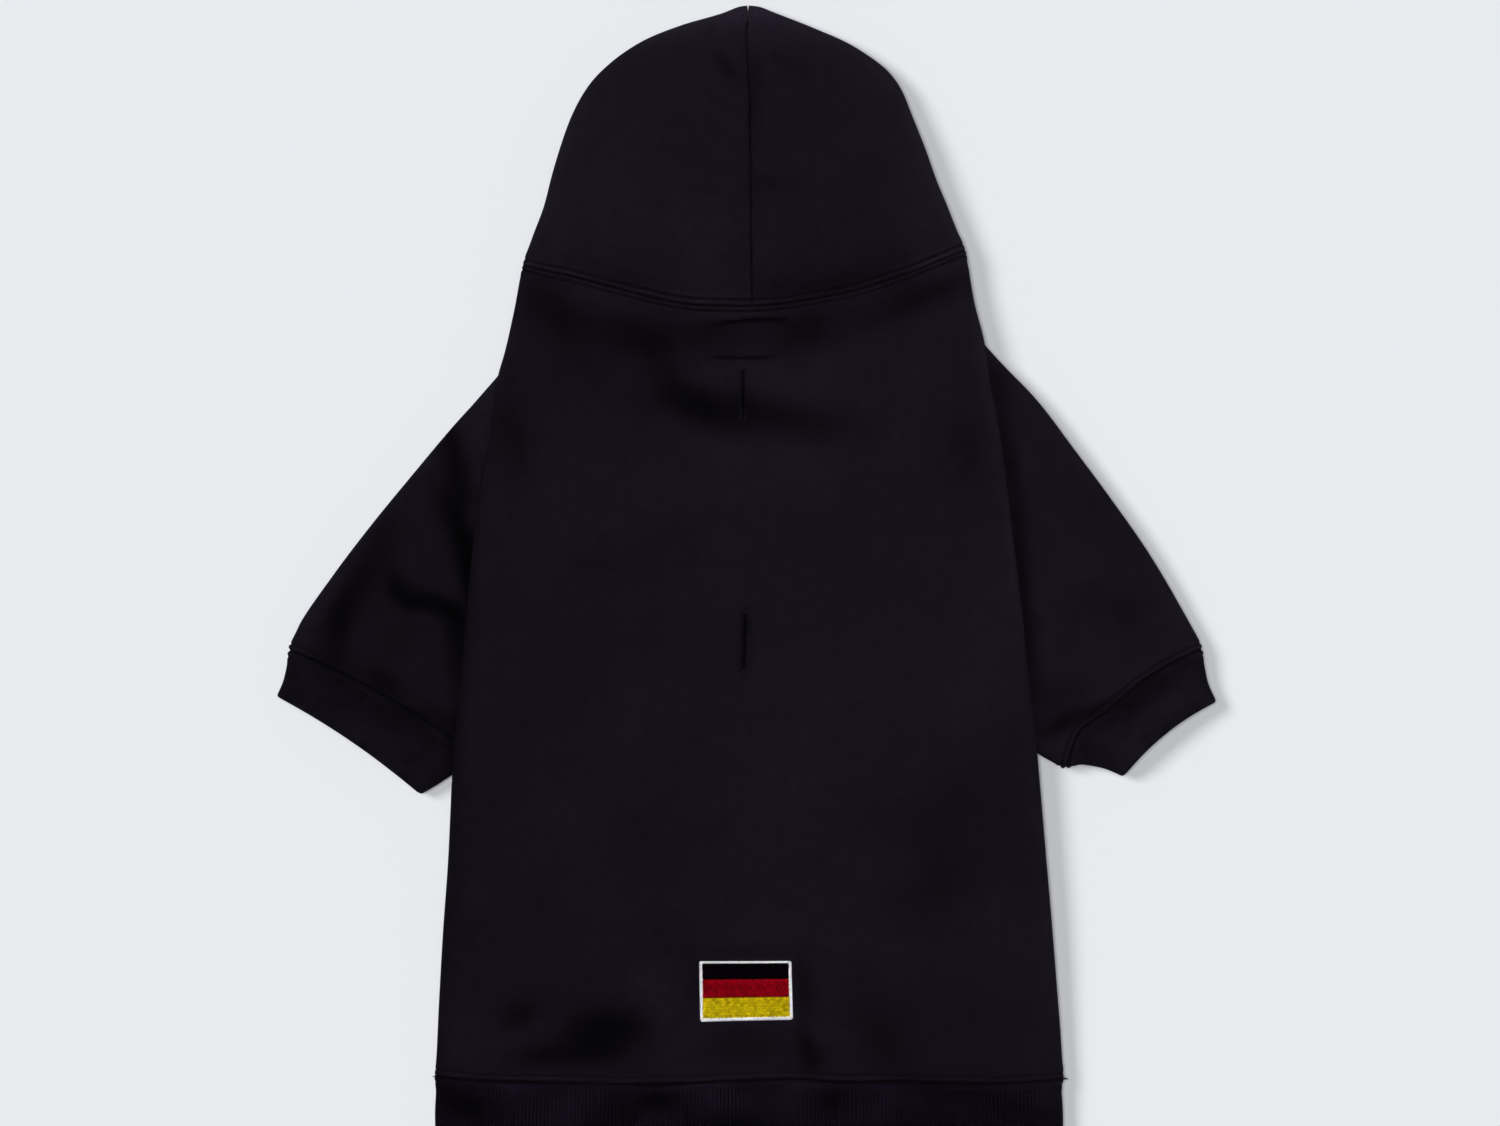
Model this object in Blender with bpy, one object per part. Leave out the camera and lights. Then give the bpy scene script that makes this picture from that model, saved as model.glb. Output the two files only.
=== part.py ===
"""Dog hoodie in heavy brushed fleece, lying belly down with its back up.

World axes: +X is the wearer-side right of the laid-out garment as seen from above, +Y runs from the hem
to the hood, +Z is up. The origin is the centre of the footprint, on the surface that the hoodie lies on.

The whole hoodie is described by rows. A torso row runs across the garment, from the left outline over the
back to the right outline, and returns underneath. An arm row runs across a sleeve from its outer fold to its
underarm fold. Every cloth piece is a wall of constant thickness that follows those rows.
"""

import math

import bmesh
import bpy
import numpy as np

# Driving dimensions, in metres
UNIT = 0.00048  # length of one step of the tables below
CENTRE_X = 746.50  # table position of the origin
CENTRE_Y = 580.0
FLEECE = 0.0025  # wall of the body, hood and sleeves
RIB = 0.0028  # wall of the doubled rib knit
GAP = 0.0003  # play between neighbouring pieces
BACK_ROUND = 0.012  # width of the side fold, seen from above
UNDER_ROUND = 0.013  # width of the side fold, seen from below
ARM_ROUND = 0.008
ARM_UNDER_ROUND = 0.009
ROOT_PLAY = 0.0008  # play between a sleeve's root and the belly panel
SLIT_WIDTH = 0.0014  # leash holes
PATCH_LIFT = 0.0005  # play under the flag patch
BORDER_HEIGHT = 0.0014
FIELD_HEIGHT = 0.0010
MM = 0.001
NECK = 306.0  # centre-line station of the neck seam
HEM = 1082.0  # centre-line station of the hem seam
BAND_END = 1155.0
CROWN = 9.0  # centre-line station of the top of the hood
CUFF_SEAM = 7.0
CUFF_END = 10.0
SEAM = GAP / UNIT / 2 + 0.05


class Table:
    """Named columns over a first column of rising stations, read smoothly between its rows."""

    def __init__(self, columns, *rows):
        names = columns.split()
        data = np.array(rows, float).T
        self.stations = data[0]
        self.columns = dict(zip(names[1:], data[1:]))

    def __call__(self, name, where):
        return smooth(self.stations, self.columns[name], np.asarray(where, float))


def smooth(knots, values, where):
    """Monotone cubic through the knots, so that an outline has no overshoot and no corner."""
    step = np.diff(knots)
    slope = np.diff(values) / step
    tangent = np.zeros_like(values)
    tangent[0], tangent[-1] = slope[0], slope[-1]
    for i in range(1, len(values) - 1):
        if slope[i - 1] * slope[i] > 0:
            a, b = 2 * step[i] + step[i - 1], step[i] + 2 * step[i - 1]
            tangent[i] = (a + b) / (a / slope[i - 1] + b / slope[i])
    where = np.clip(where, knots[0], knots[-1])
    i = np.clip(np.searchsorted(knots, where, side="right") - 1, 0, len(step) - 1)
    t, h = (where - knots[i]) / step[i], step[i]
    return (
        (1 + 2 * t) * (1 - t) ** 2 * values[i]
        + t * (1 - t) ** 2 * h * tangent[i]
        + t * t * (3 - 2 * t) * values[i + 1]
        + t * t * (t - 1) * h * tangent[i + 1]
    )


# The torso's rows, from the top of the hood to the lower edge of the hem band. c is the station on the
# centre line; left and right are the outline's points; mid is the height of the widest point, edge the height
# just inside the side fold and crown the height on the centre line, in millimetres.
TORSO = Table(
    "c centre left_x left_y right_x right_y mid edge crown",
    (9, 748.0, 747.4, 5, 748.6, 5, 7.0, 11.0, 11.5),
    (11, 748.0, 741, 6, 757, 6, 7.0, 11.0, 12.0),
    (19, 748.2, 722, 13, 775, 12.5, 7.5, 11.5, 14.0),
    (34, 748.4, 684, 24, 812, 27, 8.0, 12.0, 17.0),
    (57, 748.8, 644, 40, 850, 44, 8.5, 13.5, 22.0),
    (84, 749.3, 610, 63, 888, 71, 9.0, 15.0, 27.0),
    (116, 749.8, 589, 85, 901, 89, 10.0, 16.5, 32.0),
    (150, 750.2, 572, 115, 913, 118, 10.5, 18.0, 36.0),
    (183, 750.5, 561, 145, 925, 148, 11.0, 19.0, 38.0),
    (215, 750.8, 552, 175, 936, 179, 11.0, 19.0, 38.5),
    (247, 751.2, 544, 206, 948, 208, 11.0, 19.0, 37.0),
    (277, 751.6, 533, 236, 957.5, 233, 11.0, 18.5, 34.0),
    (306, 752.0, 523, 266, 965, 253, 11.0, 18.0, 31.5),
    (345, 751.5, 514, 311, 974.5, 303, 11.0, 18.5, 34.0),
    (385, 751.0, 505, 351, 985, 345, 11.0, 19.5, 37.0),
    (412, 750.0, 497.5, 378, 989, 376, 11.0, 20.0, 38.0),
    (460, 749.5, 490.3, 432, 999.5, 430, 11.0, 20.0, 38.5),
    (520, 749.0, 479, 500, 1008.5, 498, 11.0, 20.0, 38.5),
    (580, 748.5, 471, 562, 1016, 560, 11.0, 20.0, 38.0),
    (640, 748.5, 465, 625, 1023.5, 623, 11.0, 20.0, 37.5),
    (700, 748.5, 459.5, 687, 1029.5, 685, 11.0, 20.0, 37.0),
    (750, 748.7, 453.5, 738, 1036, 737, 11.0, 19.5, 36.0),
    (795, 748.8, 451.5, 784, 1040, 784, 11.0, 19.0, 35.0),
    (870, 749.0, 448, 860, 1046.5, 860, 10.5, 18.5, 33.0),
    (940, 749.0, 443, 930, 1052.5, 930, 10.0, 17.5, 31.0),
    (1010, 749.0, 439, 999, 1058, 999, 9.0, 16.0, 27.5),
    (1060, 749.0, 436.5, 1048, 1062, 1048, 8.2, 14.5, 23.0),
    (1082, 749.0, 435, 1069, 1063.5, 1069, 8.0, 13.5, 20.5),
    (1095, 749.0, 435.8, 1082, 1062, 1082, 8.0, 13.5, 20.0),
    (1125, 749.0, 434.6, 1114, 1063.2, 1114, 7.5, 13.0, 19.0),
    (1155, 749.0, 435.5, 1147, 1063.5, 1147, 7.0, 12.5, 18.0),
)

# The hood's face opening, underneath: half its width, and how far its edge drops below the row.
FACE = Table(
    "c half drop",
    (9, 0, 34),
    (11, 12, 34),
    (19, 32, 32),
    (34, 58, 28),
    (57, 84, 22),
    (84, 104, 15),
    (116, 114, 8),
    (150, 115, 3),
    (183, 110, 0),
    (215, 98, 0),
    (247, 80, 0),
    (277, 59, 0),
    (306, 40, 0),
)

# The sleeves and cuffs, from the root under the body's side (k = 0) over the cuff seam (7) to the leg opening
# (10). out is the outer fold, in the underarm fold, and bow how far a row curves towards the body.
LEFT_ARM = Table(
    "k out_x out_y in_x in_y bow mid edge crown",
    (0, 524, 394, 482, 727, 0, 7.0, 12.5, 16.5),
    (0.5, 509, 386, 480, 730, 1, 7.3, 13.0, 17.0),
    (1, 494, 381.5, 478, 733, 2, 7.5, 13.3, 17.5),
    (2, 454, 425, 476, 738, 4, 8.0, 14.0, 19.0),
    (3, 412, 475, 474.5, 741, 5, 8.5, 14.5, 20.0),
    (4, 371, 525, 473.5, 744, 6, 8.5, 14.5, 20.5),
    (5, 333, 575, 472, 746.5, 7, 8.5, 14.0, 20.0),
    (6, 299, 625, 470.8, 749.5, 8, 8.0, 13.5, 18.5),
    (7, 288.5, 650, 469, 752, 8, 7.5, 12.5, 16.5),
    (8, 286.5, 664, 459, 769, 7, 7.5, 12.5, 16.0),
    (9, 283, 680, 441, 782.5, 6, 7.2, 12.0, 15.0),
    (10, 276, 696.5, 420, 795, 5, 7.0, 11.5, 14.0),
)
RIGHT_ARM = Table(
    "k out_x out_y in_x in_y bow mid edge crown",
    (0, 960, 367, 1008, 735, 0, 7.0, 12.5, 16.5),
    (0.5, 975, 358, 1015, 741, 2, 7.3, 13.0, 17.0),
    (1, 989.5, 354, 1022, 746, 4, 7.5, 13.3, 17.5),
    (2, 1037, 400, 1031, 750, 9, 8.0, 14.0, 19.0),
    (3, 1075, 450, 1037, 753, 13, 8.5, 14.5, 20.0),
    (4, 1112, 500, 1043, 757, 17, 8.5, 14.5, 20.5),
    (5, 1147, 550, 1049.5, 760.5, 20, 8.5, 14.0, 20.0),
    (6, 1177, 600, 1057, 764.5, 21, 8.0, 13.5, 18.5),
    (7, 1202.5, 649, 1066, 768, 21, 7.5, 12.5, 16.5),
    (8, 1204.5, 663, 1081, 765, 17, 7.5, 12.5, 16.0),
    (9, 1208, 681, 1101, 768, 12, 7.2, 12.0, 15.0),
    (10, 1217, 702, 1124, 777, 7, 7.0, 11.5, 14.0),
)

# Where a sleeve passes under the back panel's side: y along the outline and the height that the panel clears.
LEFT_PASS = Table(
    "y height",
    (377, 0),
    (379, 12.5),
    (392, 14.6),
    (415, 15.7),
    (470, 17.6),
    (530, 18.9),
    (590, 19.7),
    (640, 20.1),
    (680, 19.6),
    (705, 18.8),
    (729, 17.2),
    (745, 15.2),
    (761, 13.9),
    (778, 11.3),
    (781, 0),
)
RIGHT_PASS = Table(
    "y height",
    (349, 0),
    (351, 11.5),
    (361, 13.7),
    (377, 15.1),
    (417, 16.5),
    (465, 17.5),
    (521, 18.7),
    (577, 19.5),
    (625, 19.5),
    (657, 19.0),
    (690, 18.5),
    (713, 17.7),
    (729, 16.9),
    (745, 15.0),
    (757, 12.3),
    (760, 0),
)

# Soft hollows in the back: place, direction in degrees from +X, size along and across, and depth in mm.
BACK_FOLDS = Table(
    "n x y turn along across depth",
    (0, 745, 412, -6, 90, 15, 2.6),
    (1, 575, 330, -38, 45, 14, 2.2),
    (2, 905, 302, 22, 60, 13, 2.0),
    (3, 575, 1030, 24, 70, 16, 2.4),
    (4, 814, 1015, -72, 55, 12, 2.2),
    (5, 905, 815, 30, 70, 22, 1.4),
)
LEFT_FOLDS = Table(
    "n x y turn along across depth",
    (0, 355, 600, 58, 75, 15, 2.2),
    (1, 428, 602, -22, 40, 9, 3.2),
    (2, 462, 545, -70, 40, 10, 2.2),
)
RIGHT_FOLDS = Table(
    "n x y turn along across depth",
    (0, 1126, 612, 10, 40, 16, 1.6),
    (1, 1072, 722, 30, 38, 9, 2.4),
    (2, 1030, 520, -75, 70, 14, 1.6),
)

# Leash holes: x, upper and lower end
SLITS = Table("n x top bottom", (0, 743, 373, 419), (1, 745, 614, 668))

# Flag patch: outline of the border and of its three fields
PATCH = {
    "patch_border": (699.5, 961.5, 793.5, 1022.0),
    "patch_stripe_black": (703.1, 965.1, 789.9, 978.6),
    "patch_stripe_red": (703.1, 979.4, 789.9, 997.3),
    "patch_stripe_gold": (703.1, 998.1, 789.9, 1018.4),
}


def quarter(t):
    """Height of a quarter round, 0 at its foot and 1 from its shoulder on."""
    t = np.clip(t, 0.0, 1.0)
    return np.sqrt(np.maximum(0.0, 1.0 - (1.0 - t) ** 2))


def line_distance(x, y, line_x, line_y):
    """Distance from each point to a line through many points, in table steps."""
    flat_x, flat_y = np.ravel(x), np.ravel(y)
    best = np.full(flat_x.shape, 1e9)
    for ax, ay, bx, by in zip(line_x[:-1], line_y[:-1], line_x[1:], line_y[1:]):
        dx, dy = bx - ax, by - ay
        t = ((flat_x - ax) * dx + (flat_y - ay) * dy) / (dx * dx + dy * dy + 1e-12)
        t = np.clip(t, 0.0, 1.0)
        best = np.minimum(best, np.hypot(flat_x - ax - t * dx, flat_y - ay - t * dy))
    return best.reshape(np.shape(x))


def hollows(folds, x, y):
    """Depth of the soft folds at a point, in millimetres."""
    depth = np.zeros(np.shape(x))
    columns = folds.columns
    for i in range(len(folds.stations)):
        turn = math.radians(columns["turn"][i])
        dx, dy = x - columns["x"][i], columns["y"][i] - y
        along = (dx * math.cos(turn) + dy * math.sin(turn)) / columns["along"][i]
        across = (dy * math.cos(turn) - dx * math.sin(turn)) / columns["across"][i]
        depth += columns["depth"][i] * np.exp(-(along**2) - across**2)
    return depth


STATIONS = np.linspace(CROWN, BAND_END, 240)
OUTLINE_X = np.concatenate([TORSO("left_x", STATIONS[::-1]), TORSO("right_x", STATIONS)])
OUTLINE_Y = np.concatenate([TORSO("left_y", STATIONS[::-1]), TORSO("right_y", STATIONS)])


def world(x, y, z_mm):
    return np.stack(
        [(x - CENTRE_X) * UNIT, (CENTRE_Y - y) * UNIT, z_mm * MM + 0.0 * x], axis=-1
    )


def fold_width(mid, edge):
    """Width of the side fold's rounding, less where the fold is low, so that the wall can follow it."""
    return np.minimum(BACK_ROUND, (edge - mid) ** 2 / 3.2 * MM)


def torso_height(x, y, u, c, right, side_y):
    """Height of the upper cloth, in millimetres."""
    passing = np.where(right, RIGHT_PASS("height", side_y), LEFT_PASS("height", side_y))
    mid = np.maximum(TORSO("mid", c), passing)
    edge = np.maximum(TORSO("edge", c), mid + 5.5)
    crown = TORSO("crown", c)
    inside = line_distance(x, y, OUTLINE_X, OUTLINE_Y) * UNIT
    rise = quarter(inside / fold_width(mid, edge))
    height = mid + (edge - mid) * rise + (crown - edge) * (1.0 - u * u)
    return height - hollows(BACK_FOLDS, x, y) * rise, mid, inside


def torso(c, p, hood):
    """Outer point of the torso at station c. p is 0 on the back's centre line, 1 where the side fold starts,
    2 at the outline, 3 where the fold ends underneath and 4 at the face edge or the belly's centre line.
    It is negative on the left."""
    c, p = np.broadcast_arrays(np.asarray(c, float), np.asarray(p, float))
    right, a = p > 0, np.abs(p)
    centre = TORSO("centre", c)
    side_x = np.where(right, TORSO("right_x", c), TORSO("left_x", c))
    side_y = np.where(right, TORSO("right_y", c), TORSO("left_y", c))
    length = np.hypot(side_x - centre, side_y - c) * UNIT
    low = fold_width(TORSO("mid", c), TORSO("edge", c))
    fold = np.minimum(1.3 * low / length, 0.6)
    turn = (2 - np.clip(a, 1, 2)) * math.pi / 2
    u = np.where(a < 1, a * (1 - fold), 1 - fold * (1 - np.cos(turn)))
    x = centre + u * (side_x - centre)
    y = side_y + (c - side_y) * (1 - u * u)
    z, mid, inside = torso_height(x, y, u, c, right, side_y)

    half = FACE("half", c) if hood else 0.0 * c
    drop = FACE("drop", c) if hood else 0.0 * c
    face_x = centre + np.where(right, half, -half)
    reach = np.minimum(half / np.maximum(np.abs(side_x - centre), 1e-6), 1.0)
    face_y = side_y + (c - side_y) * (1 - reach**2) + drop
    bulge = (c - side_y) * (1 - reach) ** 2 / 4
    length = np.hypot(face_x - side_x, face_y - side_y) * UNIT
    fold = np.minimum(UNDER_ROUND / length, 0.7)
    turn = (np.clip(a, 2, 3) - 2) * math.pi / 2
    w = np.where(a < 3, fold * (1 - np.cos(turn)), fold + (np.clip(a, 3, 4) - 3) * (1 - fold))
    under_x = side_x + w * (face_x - side_x)
    under_y = side_y + w * (face_y - side_y) + 4 * w * (1 - w) * bulge
    inside = line_distance(under_x, under_y, OUTLINE_X, OUTLINE_Y) * UNIT
    inside = np.where(a >= 3, 1.0, inside)
    under_z = mid * (1 - quarter(inside / UNDER_ROUND))

    x = np.where(a > 2, under_x, x)
    y = np.where(a > 2, under_y, y)
    z = np.where(a > 2, under_z, np.where(a > 2 - 1e-9, mid, z))
    return world(x, y, z)


ARM_STATIONS = np.linspace(0, CUFF_END, 120)


def arm(table, folds, k, b, right):
    """Outer point of a sleeve or cuff on row k. b runs from 0 at the outer fold over the top to 1 at the
    underarm fold and back underneath to 2."""
    k, b = np.broadcast_arrays(np.asarray(k, float), np.asarray(b, float))
    b = np.mod(b, 2.0)
    out_x, out_y = table("out_x", k), table("out_y", k)
    in_x, in_y = table("in_x", k), table("in_y", k)
    dx, dy = in_x - out_x, in_y - out_y
    length = np.hypot(dx, dy)
    top = b <= 1
    t = np.where(top, b, 2 - b)
    fold = np.minimum(np.where(top, ARM_ROUND, ARM_UNDER_ROUND) * 1.2 / (length * UNIT), 0.35)
    start = fold * (1 - np.cos(np.clip(t / 0.25, 0, 1) * math.pi / 2))
    finish = 1 - fold * (1 - np.cos(np.clip((1 - t) / 0.25, 0, 1) * math.pi / 2))
    middle = fold + (1 - 2 * fold) * (t - 0.25) / 0.5
    s = np.where(t < 0.25, start, np.where(t > 0.75, finish, middle))
    # The unit normal of a row, towards the body
    nx, ny = dy / length, -dx / length
    side = -1.0 if right else 1.0
    bow = table("bow", k) * 4 * s * (1 - s) * side
    x, y = out_x + s * dx + bow * nx, out_y + s * dy + bow * ny
    # The root follows the body's side fold
    outline = "right" if right else "left"
    order = np.argsort(TORSO(outline + "_y", STATIONS))
    root_y = table("out_y", 0.0) + s * (table("in_y", 0.0) - table("out_y", 0.0))
    edge_x = np.interp(
        root_y, TORSO(outline + "_y", STATIONS)[order], TORSO(outline + "_x", STATIONS)[order]
    )
    root_x = edge_x + side * (UNDER_ROUND - ROOT_PLAY) / UNIT
    straight = table("out_x", 0.0) + s * (table("in_x", 0.0) - table("out_x", 0.0))
    x = x + np.clip(1 - k / 1.5, 0, 1) * (root_x - straight)
    inside = (
        np.minimum(
            line_distance(x, y, table("out_x", ARM_STATIONS), table("out_y", ARM_STATIONS)),
            line_distance(x, y, table("in_x", ARM_STATIONS), table("in_y", ARM_STATIONS)),
        )
        * UNIT
    )
    inside = np.where((s < 1e-6) | (s > 1 - 1e-6), 0.0, inside)
    mid, edge, crown = table("mid", k), table("edge", k), table("crown", k)
    rise = quarter(inside / ARM_ROUND)
    upper = mid + (edge - mid) * rise + (crown - edge) * 4 * s * (1 - s)
    upper = upper - hollows(folds, x, y) * rise * np.clip(k, 0, 1)
    lower = mid * (1 - quarter(inside / ARM_UNDER_ROUND))
    return world(x, y, np.where(top, upper, lower))


def normals(point, first, second, first_step, second_step):
    """Outward unit normals of a surface point(first, second), by small steps along both."""
    a = point(first + first_step, second) - point(first - first_step, second)
    b = point(first, second + second_step) - point(first, second - second_step)
    n = np.cross(a, b)
    return n / np.maximum(np.linalg.norm(n, axis=-1, keepdims=True), 1e-15)


def new_material(name, colour, roughness):
    material = bpy.data.materials.new(name)
    material.use_nodes = True
    shader = material.node_tree.nodes["Principled BSDF"]
    shader.inputs["Base Color"].default_value = (*colour, 1.0)
    shader.inputs["Roughness"].default_value = roughness
    shader.inputs["Metallic"].default_value = 0.0
    material.diffuse_color = (*colour, 1.0)
    return material


def wall(name, outer, inner, material, keep=None, ring=False):
    """A closed wall between two grids of points. keep marks the cells that exist, and ring joins the last
    column to the first."""
    rows, columns = outer.shape[:2]
    across = columns if ring else columns - 1
    if keep is None:
        keep = np.ones((rows - 1, across), bool)
    build = bmesh.new()
    made = {}

    def vertex(layer, r, c):
        key = (layer, r, c % columns)
        if key not in made:
            made[key] = build.verts.new((outer if layer else inner)[r, c % columns])
        return made[key]

    used = {}
    for r in range(rows - 1):
        for c in range(across):
            if not keep[r, c]:
                continue
            loop = [(r, c), (r, c + 1), (r + 1, c + 1), (r + 1, c)]
            build.faces.new([vertex(1, *q) for q in loop])
            build.faces.new([vertex(0, *q) for q in reversed(loop)])
            for a, b in zip(loop, loop[1:] + loop[:1]):
                a, b = (a[0], a[1] % columns), (b[0], b[1] % columns)
                used.setdefault(frozenset((a, b)), []).append((a, b))
    for ends in used.values():
        if len(ends) == 1:
            a, b = ends[0]
            build.faces.new([vertex(1, *b), vertex(1, *a), vertex(0, *a), vertex(0, *b)])
    bmesh.ops.recalc_face_normals(build, faces=build.faces)
    mesh = bpy.data.meshes.new(name)
    build.to_mesh(mesh)
    build.free()
    mesh.materials.append(material)
    mesh.shade_smooth()
    mesh.set_sharp_from_angle(angle=math.radians(50))
    made_object = bpy.data.objects.new(name, mesh)
    bpy.context.scene.collection.objects.link(made_object)
    return made_object


def steps(*stops):
    """Stations from (start, end, count) runs that follow on from each other."""
    parts = [np.linspace(a, b, n + 1)[:-1] for a, b, n in stops]
    return np.concatenate(parts + [[stops[-1][1]]])


def station_at(column, value):
    """The torso station whose outline point lies at this y."""
    return float(np.interp(value, TORSO(column, STATIONS), STATIONS))


def torso_wall(name, stations, places, thickness, material, hood=False, keep=None, ring=False, shift=0.0):
    grid_c, grid_p = np.meshgrid(stations, places, indexing="ij")
    outer = torso(grid_c, grid_p, hood)
    # Two pieces that meet in a seam share its normals
    near = np.where(np.abs(grid_c - NECK) < 1, NECK, np.where(np.abs(grid_c - HEM) < 1, HEM, grid_c))
    n = -normals(lambda p, c: torso(c, p, hood), grid_p, near, 0.02, 1.0)
    if hood:
        # The halves meet in one upright plane, on the back and over the crown
        n[..., 0] *= np.where(np.abs(grid_p) < 1e-9, 0.0, np.clip((grid_c - CROWN) / 20, 0, 1))
        n /= np.linalg.norm(n, axis=-1, keepdims=True)
        # and the wall thins out towards the point of the crown
        n *= (0.6 + 0.4 * np.clip((grid_c - CROWN) / 30, 0, 1))[..., None]
    flat = np.abs(grid_p) >= 3
    n[flat] = (0.0, 0.0, -1.0)
    outer[..., 0] += shift
    outer[..., 2] = np.where(flat, 0.0, outer[..., 2])
    return wall(name, outer, outer - thickness * n, material, keep, ring)


def arm_wall(name, table, folds, rows, around, thickness, material, right):
    grid_k, grid_b = np.meshgrid(rows, around, indexing="ij")
    outer = arm(table, folds, grid_k, grid_b, right)
    near = np.where(np.abs(grid_k - CUFF_SEAM) < 0.1, CUFF_SEAM, grid_k)
    n = normals(lambda k, b: arm(table, folds, k, b, right), near, grid_b, 0.04, 0.01)
    n = -n if right else n
    return wall(name, outer, outer - thickness * n, material, ring=True)


def cloth_height_at(x, y):
    """Height of the back at a table point, in millimetres."""
    x, y = np.asarray(x, float), np.asarray(y, float)
    c = y.copy()
    for _ in range(30):
        right = x > TORSO("centre", c)
        side_x = np.where(right, TORSO("right_x", c), TORSO("left_x", c))
        side_y = np.where(right, TORSO("right_y", c), TORSO("left_y", c))
        u = (x - TORSO("centre", c)) / (side_x - TORSO("centre", c))
        c = c + (y - side_y - (c - side_y) * (1 - u * u))
    return torso_height(x, y, u, c, right, side_y)[0]


def patch_piece(name, box, thickness, material, border=None):
    """A thin field of thread that follows the back. A border is a frame of this width."""
    left, top, right, bottom = box
    xs = np.linspace(left, right, 7)
    ys = np.linspace(top, bottom, 3)
    keep = None
    if border:
        xs = np.concatenate([[left], np.linspace(left + border, right - border, 7), [right]])
        ys = np.concatenate([[top], np.linspace(top + border, bottom - border, 4), [bottom]])
        keep = np.ones((len(ys) - 1, len(xs) - 1), bool)
        keep[1:-1, 1:-1] = False
    grid_y, grid_x = np.meshgrid(ys, xs, indexing="ij")
    height = cloth_height_at(grid_x, grid_y)
    low = world(grid_x, grid_y, height + PATCH_LIFT / MM)
    high = low + np.array([0.0, 0.0, thickness])
    return wall(name, high, low, material, keep)


def cut_slit(cloth, name, x, top, bottom):
    """A leash hole: a straight upright cut through the back panel."""
    cutter_mesh = bpy.data.meshes.new(name)
    build = bmesh.new()
    bmesh.ops.create_cube(build, size=1.0)
    for v in build.verts:
        v.co.x *= SLIT_WIDTH
        v.co.y *= (bottom - top) * UNIT
        v.co.z *= 0.04
    build.to_mesh(cutter_mesh)
    build.free()
    cutter = bpy.data.objects.new(name, cutter_mesh)
    cutter.location = ((x - CENTRE_X) * UNIT, (CENTRE_Y - (top + bottom) / 2) * UNIT, 0.035)
    cutter.hide_render = True
    cutter.display_type = "WIRE"
    bpy.context.scene.collection.objects.link(cutter)
    cut = cloth.modifiers.new(name, "BOOLEAN")
    cut.operation = "DIFFERENCE"
    cut.solver = "EXACT"
    cut.object = cutter


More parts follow.
